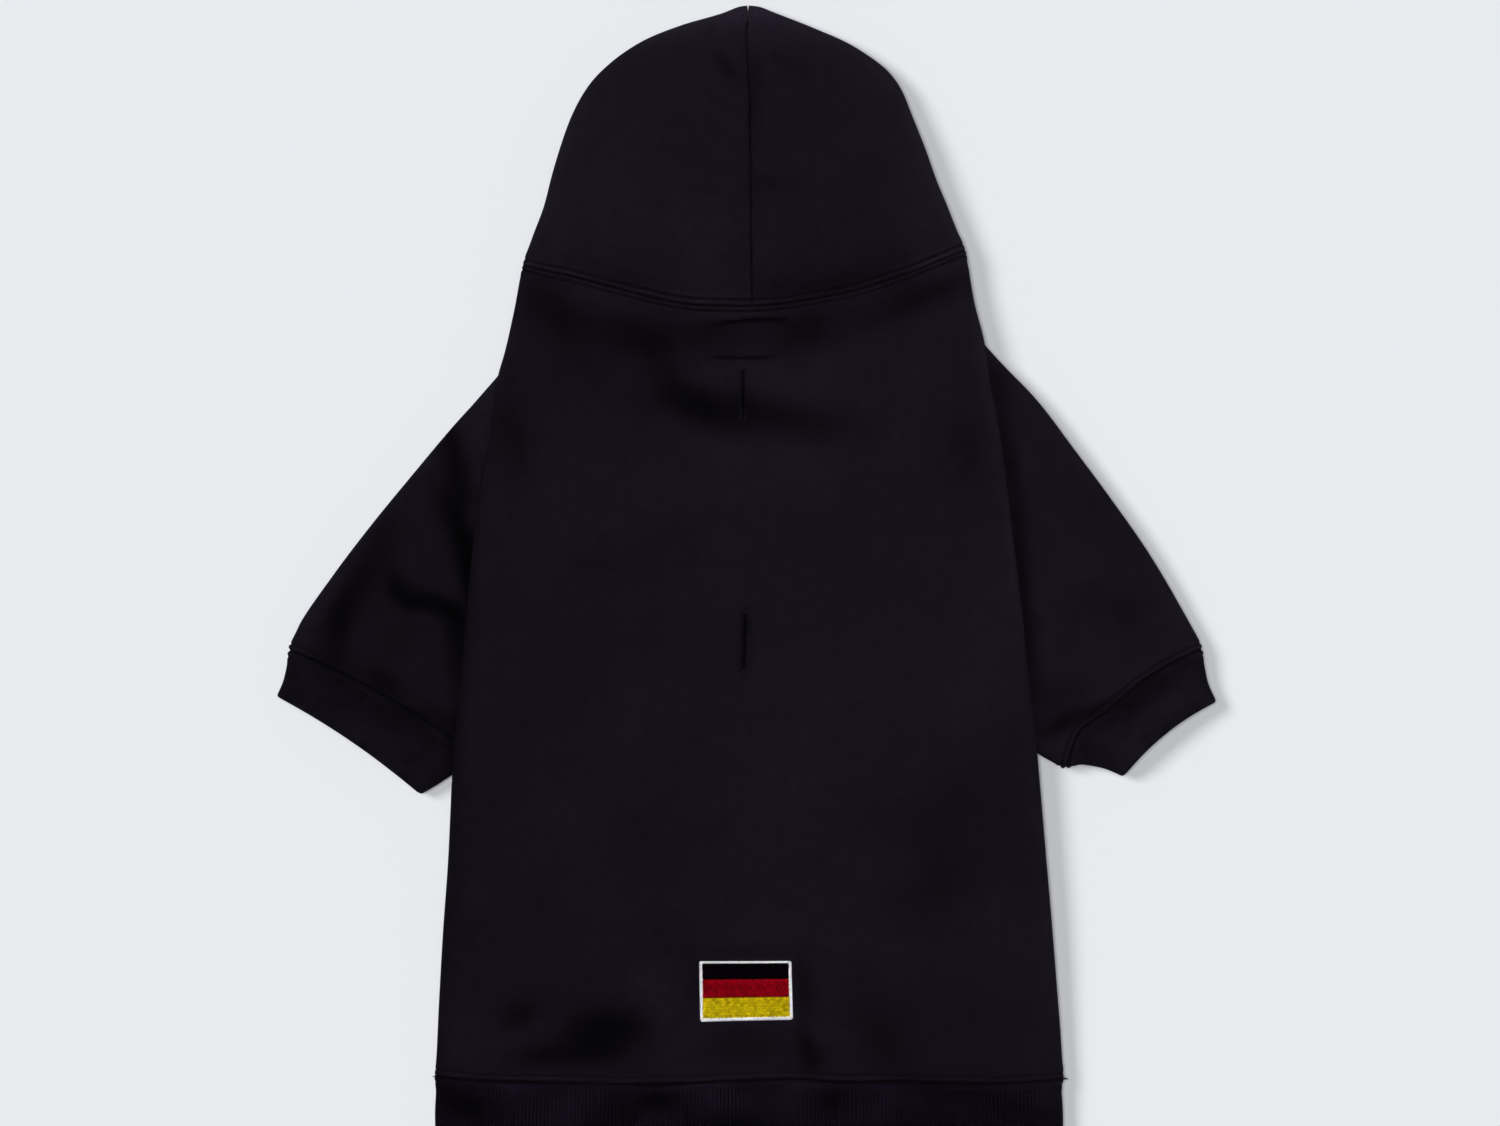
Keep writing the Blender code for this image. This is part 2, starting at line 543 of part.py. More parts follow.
def main():
    for old in list(bpy.data.objects):
        bpy.data.objects.remove(old)

    fleece = new_material("fleece", (0.010, 0.0082, 0.013), 0.9)
    rib_knit = new_material("rib_knit", (0.0085, 0.007, 0.011), 0.92)
    white_thread = new_material("white_thread", (0.78, 0.76, 0.76), 0.55)
    black_thread = new_material("black_thread", (0.0025, 0.002, 0.003), 0.5)
    red_thread = new_material("red_thread", (0.26, 0.003, 0.008), 0.5)
    gold_thread = new_material("gold_thread", (0.50, 0.36, 0.006), 0.5)

    # Stations across the torso, shared by all its pieces so that they meet row to row
    top = steps((-2, -1, 3), (-1, 0, 5), (0, 1, 5), (1, 2, 3))
    wrapped = np.concatenate([steps((-3, -2, 3))[:-1], top, steps((2, 3, 3))[1:]])
    left_open = station_at("left_y", 377.0), station_at("left_y", 781.0)
    right_open = station_at("right_y", 349.0), station_at("right_y", 760.0)

    # Body: a back panel that folds round both sides, and a belly panel between its edges
    plain = steps((NECK + SEAM, 345, 2), (345, 460, 4), (460, 1060, 15), (1060, HEM - SEAM, 1))
    marks = np.array([*left_open, *right_open])
    plain = plain[np.min(np.abs(plain[:, None] - marks[None]), axis=1) > 6]
    body_rows = np.sort(np.concatenate([plain, marks]))
    middle = (body_rows[:-1] + body_rows[1:]) / 2
    keep = np.ones((len(body_rows) - 1, len(wrapped) - 1), bool)
    places = (wrapped[:-1] + wrapped[1:]) / 2
    keep[np.ix_((middle > left_open[0]) & (middle < left_open[1]), places < -2)] = False
    keep[np.ix_((middle > right_open[0]) & (middle < right_open[1]), places > 2)] = False
    back = torso_wall("back_panel", body_rows, wrapped, FLEECE, fleece, keep=keep)
    for i in range(len(SLITS.stations)):
        cut_slit(
            back,
            f"slit_cutter_{i + 1}",
            SLITS.columns["x"][i],
            SLITS.columns["top"][i],
            SLITS.columns["bottom"][i],
        )

    share = np.linspace(-1, 1, 7)
    grid_c, grid_s = np.meshgrid(body_rows, share, indexing="ij")
    belly = torso(grid_c, np.where(grid_s < 0, -1, 1) * (4 - np.abs(grid_s)), False)
    belly[..., 0] -= GAP * grid_s
    belly[0, :, 1] -= 0.0018
    belly[..., 2] = 0.0
    lift = belly + np.array([0.0, 0.0, FLEECE])
    wall("belly_panel", belly, lift, fleece)

    # Hem band: one tube of rib knit
    around = np.concatenate([steps((-4, -3, 4))[:-1], wrapped, steps((3, 4, 4))[1:-1]])
    torso_wall("hem_band", steps((HEM + SEAM, BAND_END, 3)), around, RIB, rib_knit, ring=True)

    # Hood: two panels that meet in a seam up the back and over the crown, open below for the face
    hood_rows = np.array(
        [CROWN, 10, 12, 17, 25, 38, 57, 80, 106, 135, 165, 195, 225, 252, 280, NECK - SEAM]
    )
    left_half = np.concatenate([steps((-4, -3, 3))[:-1], steps((-3, -2, 3))[:-1], top[top <= 0]])
    torso_wall("hood_left", hood_rows, left_half, FLEECE, fleece, hood=True, shift=-GAP / 2)
    right_half = -left_half[::-1]
    torso_wall("hood_right", hood_rows, right_half, FLEECE, fleece, hood=True, shift=GAP / 2)

    # Sleeves and cuffs: tubes
    loop = np.concatenate(
        [
            steps((0, 0.25, 3))[:-1],
            steps((0.25, 0.75, 6))[:-1],
            steps((0.75, 1, 3))[:-1],
            steps((1, 1.25, 3))[:-1],
            steps((1.25, 1.75, 4))[:-1],
            steps((1.75, 2, 3))[:-1],
        ]
    )
    play = 0.05
    sleeve_rows = steps((0, 1, 3), (1, CUFF_SEAM - play, 8))
    cuff_rows = steps((CUFF_SEAM + play, CUFF_END, 3))
    for side, table, folds in (("left", LEFT_ARM, LEFT_FOLDS), ("right", RIGHT_ARM, RIGHT_FOLDS)):
        right = side == "right"
        arm_wall(f"sleeve_{side}", table, folds, sleeve_rows, loop, FLEECE, fleece, right)
        arm_wall(f"cuff_{side}", table, folds, cuff_rows, loop, RIB, rib_knit, right)

    # Flag patch: a raised border round three fields of thread
    threads = {
        "patch_border": white_thread,
        "patch_stripe_black": black_thread,
        "patch_stripe_red": red_thread,
        "patch_stripe_gold": gold_thread,
    }
    for name, box in PATCH.items():
        if name == "patch_border":
            patch_piece(name, box, BORDER_HEIGHT, threads[name], border=2.9)
        else:
            patch_piece(name, box, FIELD_HEIGHT, threads[name])


main()
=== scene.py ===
"""Looks of the dog hoodie: heavy brushed fleece, rib knit, seams, leash holes and a sewn flag patch.

The cloth is built from the same rows as the solids, at a finer step, with the folds, the rounded seam edges, the
stitch grooves and the rib as real geometry. Over them the cloth's colour carries painted shade and painted highlight
in the folds, seams and grooves and along edges; some folds are painted shade or highlight only, with no depth. Table
positions count in steps of UNIT from the upper left.
"""

import math

import bmesh
import bpy
import numpy as np
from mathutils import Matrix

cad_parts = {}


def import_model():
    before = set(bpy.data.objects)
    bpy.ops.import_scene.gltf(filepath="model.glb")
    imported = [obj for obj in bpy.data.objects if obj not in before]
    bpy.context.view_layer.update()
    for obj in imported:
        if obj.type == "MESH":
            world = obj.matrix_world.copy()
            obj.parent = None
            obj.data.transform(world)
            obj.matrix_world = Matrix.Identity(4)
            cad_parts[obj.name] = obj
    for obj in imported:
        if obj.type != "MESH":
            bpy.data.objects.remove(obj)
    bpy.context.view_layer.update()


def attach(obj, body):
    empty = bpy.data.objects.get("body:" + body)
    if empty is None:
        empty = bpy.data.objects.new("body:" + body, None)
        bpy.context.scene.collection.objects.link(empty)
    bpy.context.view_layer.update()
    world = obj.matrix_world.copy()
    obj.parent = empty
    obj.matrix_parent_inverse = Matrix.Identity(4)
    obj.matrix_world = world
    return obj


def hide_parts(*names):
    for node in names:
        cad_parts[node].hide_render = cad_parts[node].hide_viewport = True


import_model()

UNIT = 0.00048
CENTRE_X = 746.50
CENTRE_Y = 580.0
MM = 0.001
FLEECE = 0.0025
RIB = 0.0028
BACK_ROUND = 0.012
UNDER_ROUND = 0.013
ARM_ROUND = 0.008
ARM_UNDER_ROUND = 0.009
ROOT_PLAY = 0.0008
NECK = 306.0
HEM = 1082.0
BAND_END = 1155.0
CROWN = 9.0
CUFF_SEAM = 7.0
CUFF_END = 10.0
GAUGE = 0.0030  # distance of a stitch row from its seam


class Table:
    """Named columns over a first column of rising stations, read smoothly between its rows."""

    def __init__(self, columns, *rows):
        names = columns.split()
        data = np.array(rows, float).T
        self.stations = data[0]
        self.columns = dict(zip(names[1:], data[1:]))

    def __call__(self, name, where):
        return smooth(self.stations, self.columns[name], np.asarray(where, float))


def smooth(knots, values, where):
    """Monotone cubic through the knots, so that an outline has no overshoot and no corner."""
    step = np.diff(knots)
    slope = np.diff(values) / step
    tangent = np.zeros_like(values)
    tangent[0], tangent[-1] = slope[0], slope[-1]
    for i in range(1, len(values) - 1):
        if slope[i - 1] * slope[i] > 0:
            a, b = 2 * step[i] + step[i - 1], step[i] + 2 * step[i - 1]
            tangent[i] = (a + b) / (a / slope[i - 1] + b / slope[i])
    where = np.clip(where, knots[0], knots[-1])
    i = np.clip(np.searchsorted(knots, where, side="right") - 1, 0, len(step) - 1)
    t, h = (where - knots[i]) / step[i], step[i]
    return (
        (1 + 2 * t) * (1 - t) ** 2 * values[i]
        + t * (1 - t) ** 2 * h * tangent[i]
        + t * t * (3 - 2 * t) * values[i + 1]
        + t * t * (t - 1) * h * tangent[i + 1]
    )


# The torso's rows, from the top of the hood to the lower edge of the hem band. c is the station on the
# centre line; left and right are the outline's points; mid is the height of the widest point, edge the height
# just inside the side fold and crown the height on the centre line, in millimetres.
TORSO = Table(
    "c centre left_x left_y right_x right_y mid edge crown",
    (9, 748.0, 747.4, 5, 748.6, 5, 7.0, 11.0, 11.5),
    (11, 748.0, 741, 6, 757, 6, 7.0, 11.0, 12.0),
    (19, 748.2, 722, 13, 775, 12.5, 7.5, 11.5, 14.0),
    (34, 748.4, 684, 24, 812, 27, 8.0, 12.0, 17.0),
    (57, 748.8, 644, 40, 850, 44, 8.5, 13.5, 22.0),
    (84, 749.3, 610, 63, 888, 71, 9.0, 15.0, 27.0),
    (116, 749.8, 589, 85, 901, 89, 10.0, 16.5, 32.0),
    (150, 750.2, 572, 115, 913, 118, 10.5, 18.0, 36.0),
    (183, 750.5, 561, 145, 925, 148, 11.0, 19.0, 38.0),
    (215, 750.8, 552, 175, 936, 179, 11.0, 19.0, 38.5),
    (247, 751.2, 544, 206, 948, 208, 11.0, 19.0, 37.0),
    (277, 751.6, 533, 236, 957.5, 233, 11.0, 18.5, 34.0),
    (306, 752.0, 523, 266, 965, 253, 11.0, 18.0, 31.5),
    (345, 751.5, 514, 311, 974.5, 303, 11.0, 18.5, 34.0),
    (385, 751.0, 505, 351, 985, 345, 11.0, 19.5, 37.0),
    (412, 750.0, 497.5, 378, 989, 376, 11.0, 20.0, 38.0),
    (460, 749.5, 490.3, 432, 999.5, 430, 11.0, 20.0, 38.5),
    (520, 749.0, 479, 500, 1008.5, 498, 11.0, 20.0, 38.5),
    (580, 748.5, 471, 562, 1016, 560, 11.0, 20.0, 38.0),
    (640, 748.5, 465, 625, 1023.5, 623, 11.0, 20.0, 37.5),
    (700, 748.5, 459.5, 687, 1029.5, 685, 11.0, 20.0, 37.0),
    (750, 748.7, 453.5, 738, 1036, 737, 11.0, 19.5, 36.0),
    (795, 748.8, 451.5, 784, 1040, 784, 11.0, 19.0, 35.0),
    (870, 749.0, 448, 860, 1046.5, 860, 10.5, 18.5, 33.0),
    (940, 749.0, 443, 930, 1052.5, 930, 10.0, 17.5, 31.0),
    (1010, 749.0, 439, 999, 1058, 999, 9.0, 16.0, 27.5),
    (1060, 749.0, 436.5, 1048, 1062, 1048, 8.2, 14.5, 23.0),
    (1082, 749.0, 435, 1069, 1063.5, 1069, 8.0, 13.5, 20.5),
    (1095, 749.0, 435.8, 1082, 1062, 1082, 8.0, 13.5, 20.0),
    (1125, 749.0, 434.6, 1114, 1063.2, 1114, 7.5, 13.0, 19.0),
    (1155, 749.0, 435.5, 1147, 1063.5, 1147, 7.0, 12.5, 18.0),
)

# The hood's face opening, underneath: half its width, and how far its edge drops below the row.
FACE = Table(
    "c half drop",
    (9, 0, 34),
    (11, 12, 34),
    (19, 32, 32),
    (34, 58, 28),
    (57, 84, 22),
    (84, 104, 15),
    (116, 114, 8),
    (150, 115, 3),
    (183, 110, 0),
    (215, 98, 0),
    (247, 80, 0),
    (277, 59, 0),
    (306, 40, 0),
)

# The sleeves and cuffs, from the root under the body's side (k = 0) over the cuff seam (7) to the leg opening
# (10). out is the outer fold, in the underarm fold, and bow how far a row curves towards the body.
LEFT_ARM = Table(
    "k out_x out_y in_x in_y bow mid edge crown",
    (0, 524, 394, 482, 727, 0, 7.0, 12.5, 16.5),
    (0.5, 512, 379, 480, 730, 1, 7.3, 13.0, 17.0),
    (1, 501.5, 372.5, 478, 733, 2, 7.5, 13.3, 17.5),
    (1.05, 497, 377.8, 477.9, 733.3, 2.1, 7.53, 13.33, 17.57),
    (1.1, 492.7, 382.6, 477.8, 733.5, 2.2, 7.57, 13.37, 17.63),
    (1.15, 488.3, 387.5, 477.7, 733.8, 2.3, 7.6, 13.4, 17.7),
    (2, 454, 425, 476, 738, 4, 8.0, 14.0, 19.0),
    (3, 412, 475, 474.5, 741, 5, 8.5, 14.5, 20.0),
    (4, 371, 525, 473.5, 744, 6, 8.5, 14.5, 20.5),
    (5, 333, 575, 472, 746.5, 7, 8.5, 14.0, 20.0),
    (6, 299, 625, 470.8, 749.5, 8, 8.0, 13.5, 18.5),
    (7, 288.5, 650, 469, 752, 8, 7.5, 12.5, 16.5),
    (8, 286.5, 664, 459, 769, 7, 7.5, 12.5, 16.0),
    (9, 283, 680, 441, 782.5, 6, 7.2, 12.0, 15.0),
    (10, 276, 696.5, 420, 795, 5, 7.0, 11.5, 14.0),
)
RIGHT_ARM = Table(
    "k out_x out_y in_x in_y bow mid edge crown",
    (0, 960, 367, 1008, 735, 0, 7.0, 12.5, 16.5),
    (0.5, 974, 355, 1015, 741, 2, 7.3, 13.0, 17.0),
    (1, 984.0, 344.5, 1022, 746, 4, 7.5, 13.3, 17.5),
    (1.05, 987.5, 348.3, 1022.3, 746.2, 4.3, 7.53, 13.33, 17.57),
    (1.1, 991, 352.2, 1022.7, 746.4, 4.5, 7.57, 13.37, 17.63),
    (1.15, 994.5, 356, 1023, 746.6, 4.8, 7.6, 13.4, 17.7),
    (2, 1037, 400, 1031, 750, 9, 8.0, 14.0, 19.0),
    (3, 1075, 450, 1037, 753, 13, 8.5, 14.5, 20.0),
    (4, 1112, 500, 1043, 757, 17, 8.5, 14.5, 20.5),
    (5, 1147, 550, 1049.5, 760.5, 20, 8.5, 14.0, 20.0),
    (6, 1177, 600, 1057, 764.5, 19, 8.0, 13.5, 18.5),
    (7, 1202.5, 649, 1066, 768, 17, 7.5, 12.5, 16.5),
    (8, 1204.5, 663, 1081, 765, 17, 7.5, 12.5, 16.0),
    (9, 1208, 681, 1101, 768, 12, 7.2, 12.0, 15.0),
    (10, 1217, 702, 1124, 777, 7, 7.0, 11.5, 14.0),
)

# Where a sleeve passes under the back panel's side: y along the outline and the height that the panel clears.
LEFT_PASS = Table(
    "y height",
    (377, 0),
    (379, 12.5),
    (392, 14.6),
    (415, 15.7),
    (470, 17.6),
    (530, 18.9),
    (590, 19.7),
    (640, 20.1),
    (680, 19.6),
    (705, 18.8),
    (729, 17.2),
    (745, 15.2),
    (761, 13.9),
    (778, 11.3),
    (781, 0),
)
RIGHT_PASS = Table(
    "y height",
    (349, 0),
    (351, 11.5),
    (361, 13.7),
    (377, 15.1),
    (417, 16.5),
    (465, 17.5),
    (521, 18.7),
    (577, 19.5),
    (625, 19.5),
    (657, 19.0),
    (690, 18.5),
    (713, 17.7),
    (729, 16.9),
    (745, 15.0),
    (757, 12.3),
    (760, 0),
)


# Soft folds: place, direction in degrees from +X, half length and half width in table steps, depth in mm, the
# share of the depth that stands up as a lip on the fold's left side, and the painted shade over the fold, which is a
# painted highlight where it is below 0; rows with no depth are painted shade or highlight only.
BACK_FOLDS = Table(
    "n x y turn along across depth lip shade",
    (0, 694, 404, -14, 40, 14, 2.4, 0.10, 0.66),
    (1, 806, 423, -9, 60, 14, 2.0, 0.10, 0.56),
    (2, 664, 366, -60, 46, 18, 1.0, 0.0, 0.46),
    (3, 552, 310, -42, 42, 20, 2.0, 0.0, 0.62),
    (4, 628, 336, -14, 66, 22, 1.6, 0.0, 0.56),
    (5, 712, 340, -2, 50, 17, 0.8, 0.0, 0.46),
    (6, 925, 293, 20, 44, 14, 2.2, 0.1, 0.55),
    (7, 800, 336, 14, 42, 18, 1.4, 0.0, 0.54),
    (8, 870, 312, 22, 46, 14, 0.9, 0.0, 0.32),
    (9, 966, 442, -80, 34, 12, 1.6, 0.0, 0.24),
    (10, 511, 444, -80, 66, 19, 1.4, 0.0, 0.58),
    (11, 520, 1012, 28, 30, 15, 2.2, 0.2, 0.52),
    (12, 606, 1030, 8, 46, 18, 2.8, 0.1, 0.86),
    (13, 560, 1054, -6, 56, 10, 1.6, 0.1, 0.50),
    (14, 809, 1050, -72, 28, 8, 2.2, 0.15, 0.66),
    (15, 948, 812, 32, 60, 28, 1.6, 0.1, 0.40),
    (16, 935, 888, 44, 56, 26, 1.0, 0.0, 0.38),
    (17, 750, 1050, 4, 62, 16, 1.1, 0.0, 0.44),
    (18, 470, 985, -86, 92, 17, 0.8, 0.0, 0.10),
    (19, 640, 700, -75, 80, 24, 0.5, 0.0, 0.05),
    (20, 610, 572, 20, 56, 26, 0.5, 0.0, 0.04),
    (21, 880, 620, 70, 90, 26, 0.5, 0.0, 0.05),
    (22, 690, 905, 20, 70, 20, 0.6, 0.0, 0.0),
    (23, 1030, 960, -86, 90, 14, 0.5, 0.0, 0.04),
    (24, 805, 985, -88, 40, 9, 1.6, 0.1, 0.54),
    (25, 872, 1018, -58, 60, 30, 0.8, 0.0, 0.42),
    (26, 585, 378, -16, 80, 30, 0.5, 0.0, 0.20),
    (27, 545, 985, 0, 80, 50, 0.3, 0.0, 0.14),
    (28, 535, 870, 80, 80, 50, 0.3, 0.0, 0.10),
    (29, 689, 985, 88, 38, 8, 0.6, 0.0, 0.34),
    (30, 745, 951, 0, 60, 7, 0.4, 0.0, 0.28),
    (31, 720, 560, 86, 120, 36, 0.3, 0.0, -0.06),
    (32, 750, 411, -6, 46, 14, 2.2, 0.1, 0.50),
    (33, 940, 1005, 0, 110, 70, 0.0, 0.0, 0.26),
    (34, 930, 800, 80, 120, 60, 0.0, 0.0, 0.08),
    (35, 702, 408, -18, 58, 17, 1.4, 0.1, 0.46),
    (36, 814, 438, -6, 30, 8, 0.6, 0.0, 0.26),
    (37, 604, 1032, 4, 56, 27, 0.8, 0.0, 0.38),
    (38, 592, 1042, 10, 25, 10, 1.4, 0.1, 0.46),
    (39, 540, 1055, 0, 26, 7, 0.6, 0.0, 0.38),
    (40, 985, 530, 84, 90, 24, 0.3, 0.0, 0.18),
    (41, 1010, 800, -84, 84, 20, 0.5, 0.0, 0.24),
    (42, 845, 545, 80, 40, 26, 0.0, 0.0, -0.10),
    (43, 630, 905, 60, 50, 30, 0.0, 0.0, -0.12),
    (44, 730, 740, 88, 120, 22, 0.3, 0.0, -0.11),
    (45, 567, 345, -66, 32, 12, 0.7, 0.0, 0.26),
    (46, 500, 700, 88, 280, 46, 0.0, 0.0, 0.09),
    (47, 812, 868, -8, 50, 16, 0.5, 0.0, 0.16),
    (48, 716, 318, 2, 60, 5, 0.0, 0.0, -0.40),
    (49, 712, 327, 0, 44, 8, 0.4, 0.0, 0.36),
    (50, 730, 424, -5, 60, 14, 0.8, 0.0, 0.28),
    (51, 606, 392, -14, 54, 18, 0.4, 0.0, 0.15),
    (52, 966, 466, -84, 24, 9, 0.3, 0.0, 0.08),
    (53, 806, 338, 12, 34, 12, 0.4, 0.0, 0.20),
    (54, 612, 1050, 0, 22, 8, 0.6, 0.0, 0.36),
    (55, 517, 1018, 20, 20, 9, 0.4, 0.0, 0.26),
    (56, 560, 1062, 0, 80, 7, 0.3, 0.0, 0.26),
    (57, 808, 1067, -80, 12, 9, 0.4, 0.0, 0.44),
    (58, 880, 1036, -50, 24, 12, 0.4, 0.0, 0.26),
    (59, 752, 1034, 2, 50, 10, 0.3, 0.0, 0.24),
    (60, 944, 271, 22, 26, 7, 0.0, 0.0, -0.55),
    (65, 655, 995, 0, 34, 22, 0.0, 0.0, -0.18),
    (66, 852, 1044, -60, 32, 14, 0.0, 0.0, -0.26),
    (67, 590, 505, 0, 110, 40, 0.0, 0.0, -0.12),
    (68, 545, 292, -34, 24, 10, 0.4, 0.0, 0.30),
    (69, 880, 320, 20, 80, 10, 0.3, 0.0, 0.18),
    (70, 800, 325, 6, 50, 9, 0.3, 0.0, 0.22),
    (61, 650, 340, -10, 40, 12, 0.4, 0.0, 0.18),
    (62, 930, 760, 80, 60, 50, 0.0, 0.0, 0.08),
    (63, 745, 1060, 0, 300, 16, 0.0, 0.0, 0.12),
    (64, 802, 985, -88, 34, 6, 0.3, 0.0, 0.30),
)
HOOD_FOLDS = Table(
    "n x y turn along across depth lip shade",
    (0, 727, 70, -52, 22, 6, 1.5, 0.3, 0.44),
    (1, 784, 64, -20, 20, 6, 1.0, 0.3, 0.32),
    (2, 757, 74, -84, 22, 6, 1.0, 0.0, 0.30),
    (3, 786, 185, 2, 34, 8, 1.0, 0.2, 0.26),
    (4, 848, 280, 14, 78, 12, 1.3, 0.0, 0.54),
    (5, 620, 276, -16, 60, 8, 0.9, 0.0, 0.28),
    (6, 575, 150, 72, 90, 26, 0.7, 0.0, -0.10),
    (7, 870, 150, -62, 56, 16, 0.7, 0.0, 0.04),
    (8, 712, 218, 85, 70, 36, 0.4, 0.0, -0.22),
    (9, 762, 268, 80, 34, 10, 0.7, 0.0, -0.08),
    (10, 753, 112, -90, 44, 6, 0.8, 0.0, 0.38),
    (11, 880, 240, 30, 50, 26, 0.5, 0.0, 0.14),
    (12, 746, 8, 0, 90, 24, 0.0, 0.0, -0.80),
    (13, 938, 264, 20, 30, 8, 0.0, 0.0, -0.85),
    (17, 700, 150, 85, 60, 28, 0.0, 0.0, -0.12),
    (18, 880, 165, -66, 60, 24, 0.0, 0.0, -0.13),
    (19, 812, 125, 60, 30, 20, 0.0, 0.0, 0.12),
    (14, 740, 255, 0, 62, 28, 0.0, 0.0, -0.18),
    (15, 604, 277, -18, 40, 6, 0.4, 0.0, 0.24),
    (16, 770, 290, 4, 36, 6, 0.4, 0.0, 0.24),
)
LEFT_FOLDS = Table(
    "n x y turn along across depth lip shade",
    (0, 448, 611.5, -32, 22, 6.5, 4.0, 0.2, 0.95),
    (1, 400, 590, -46, 22, 9, 2.4, 0.1, 0.80),
    (2, 458, 468, -78, 54, 12, 2.4, 0.1, 0.78),
    (3, 371, 566, 60, 54, 14, 3.0, 0.3, 0.50),
    (4, 340, 628, 76, 40, 14, 2.6, 0.3, 0.60),
    (5, 383, 681, -50, 24, 11, 2.0, 0.2, 0.70),
    (6, 456, 655, -85, 60, 10, 2.2, 0.0, 0.62),
    (7, 400, 636, -18, 44, 16, 0.9, 0.0, 0.24),
    (8, 440, 720, -34, 34, 12, 1.6, 0.1, 0.58),
    (9, 358, 662, -16, 30, 12, 0.6, 0.0, 0.0),
    (10, 438, 772, 80, 26, 16, 0.4, 0.0, 0.40),
    (11, 447, 506, -72, 30, 14, 1.8, 0.0, 0.70),
    (12, 396, 600, 60, 160, 106, 0.0, 0.0, 0.40),
    (13, 410, 717, -34, 38, 7, 0.4, 0.0, 0.56),
    (14, 421, 604, -8, 24, 5.2, 3.0, 0.3, 0.90),
    (15, 452, 748, 88, 34, 8, 0.4, 0.0, 0.50),
    (16, 458, 632, -86, 30, 7, 0.8, 0.0, 0.44),
    (17, 334, 668, -60, 26, 12, 0.6, 0.0, 0.34),
    (18, 350, 585, 64, 44, 10, 0.6, 0.0, 0.22),
    (19, 454, 545, -82, 50, 8, 0.6, 0.0, 0.56),
    (20, 342, 610, 68, 32, 9, 0.6, 0.0, 0.40),
    (21, 344, 570, 53, 100, 10, 0.0, 0.0, -0.44),
    (22, 450, 436, -62, 16, 9, 0.4, 0.0, 0.40),
    (23, 460, 622, -88, 16, 6, 0.6, 0.0, 0.50),
    (24, 461, 528, -84, 52, 6, 0.0, 0.0, 0.50),
    (25, 428, 598, -10, 34, 9, 0.0, 0.0, 0.42),
    (26, 436, 582, -20, 26, 10, 0.0, 0.0, -0.30),
    (27, 388, 530, 60, 34, 16, 0.0, 0.0, 0.14),
    (28, 334, 672, -56, 30, 9, 0.0, 0.0, 0.24),
)
RIGHT_FOLDS = Table(
    "n x y turn along across depth lip shade",
    (0, 1004, 440, -79, 90, 9, 2.0, 0.0, 0.48),
    (1, 1020, 600, -83, 120, 9, 2.2, 0.0, 0.66),
    (2, 1124, 612, 6, 28, 13, 1.9, 0.2, 0.34),
    (3, 1062, 724, 22, 30, 8, 2.8, 0.3, 0.68),
    (4, 1100, 709, 26, 36, 6, 1.4, 0.1, 0.44),
    (5, 1150, 680, 40, 34, 6, 1.0, 0.1, 0.34),
    (6, 1092, 508, 62, 50, 18, 1.0, 0.0, 0.0),
    (7, 1140, 646, 50, 30, 14, 1.0, 0.0, 0.24),
    (8, 1060, 640, 66, 60, 14, 0.7, 0.0, 0.06),
    (9, 1142, 703, 36, 44, 12, 0.5, 0.0, 0.04),
    (10, 1044, 704, -4, 24, 14, 1.0, 0.0, 0.30),
    (11, 1090, 596, -70, 20, 9, 0.8, 0.0, 0.14),
    (12, 1035, 560, -83, 150, 9, 0.0, 0.0, -0.14),
    (13, 996, 376, -60, 40, 12, 0.4, 0.0, 0.34),
    (14, 1142, 698, 33, 52, 10, 0.3, 0.0, 0.34),
    (15, 1020, 536, -80, 46, 15, 0.0, 0.0, 0.40),
    (17, 1046, 490, 60, 40, 18, 0.0, 0.0, -0.18),
    (18, 1012, 480, -82, 40, 6, 0.0, 0.0, 0.22),
    (16, 1068, 690, 4, 32, 8, 0.6, 0.0, 0.30),
)
FOLDS = {"back": BACK_FOLDS, "hood": HOOD_FOLDS, "left": LEFT_FOLDS, "right": RIGHT_FOLDS}

# Leash holes: x, ends, and the width of the gap along it
SLITS = (
    Table("y x gap", (371, 742.6, 0.2), (386, 742.8, 0.35), (393, 743.1, 1.2), (405, 743.1, 1.4), (411, 743.0, 0.5), (420, 742.8, 0.3)),
    Table("y x gap", (614, 744.8, 0.6), (622, 744.9, 1.8), (636, 744.6, 1.3), (656, 744.2, 0.8), (669, 743.6, 0.3)),
)


def quarter(t):
    """Height of a quarter round, 0 at its foot and 1 from its shoulder on."""
    t = np.clip(t, 0.0, 1.0)
    return np.sqrt(np.maximum(0.0, 1.0 - (1.0 - t) ** 2))


def bump(x, width):
    return np.exp(-((x / width) ** 2))


def line_distance(x, y, line_x, line_y):
    """Distance from each point to a line through many points, in table steps."""
    flat_x, flat_y = np.ravel(x), np.ravel(y)
    best = np.full(flat_x.shape, 1e18)
    for ax, ay, bx, by in zip(line_x[:-1], line_y[:-1], line_x[1:], line_y[1:]):
        dx, dy = bx - ax, by - ay
        t = ((flat_x - ax) * dx + (flat_y - ay) * dy) / (dx * dx + dy * dy + 1e-12)
        t = np.clip(t, 0.0, 1.0)
        best = np.minimum(best, (flat_x - ax - t * dx) ** 2 + (flat_y - ay - t * dy) ** 2)
    return np.sqrt(best).reshape(np.shape(x))


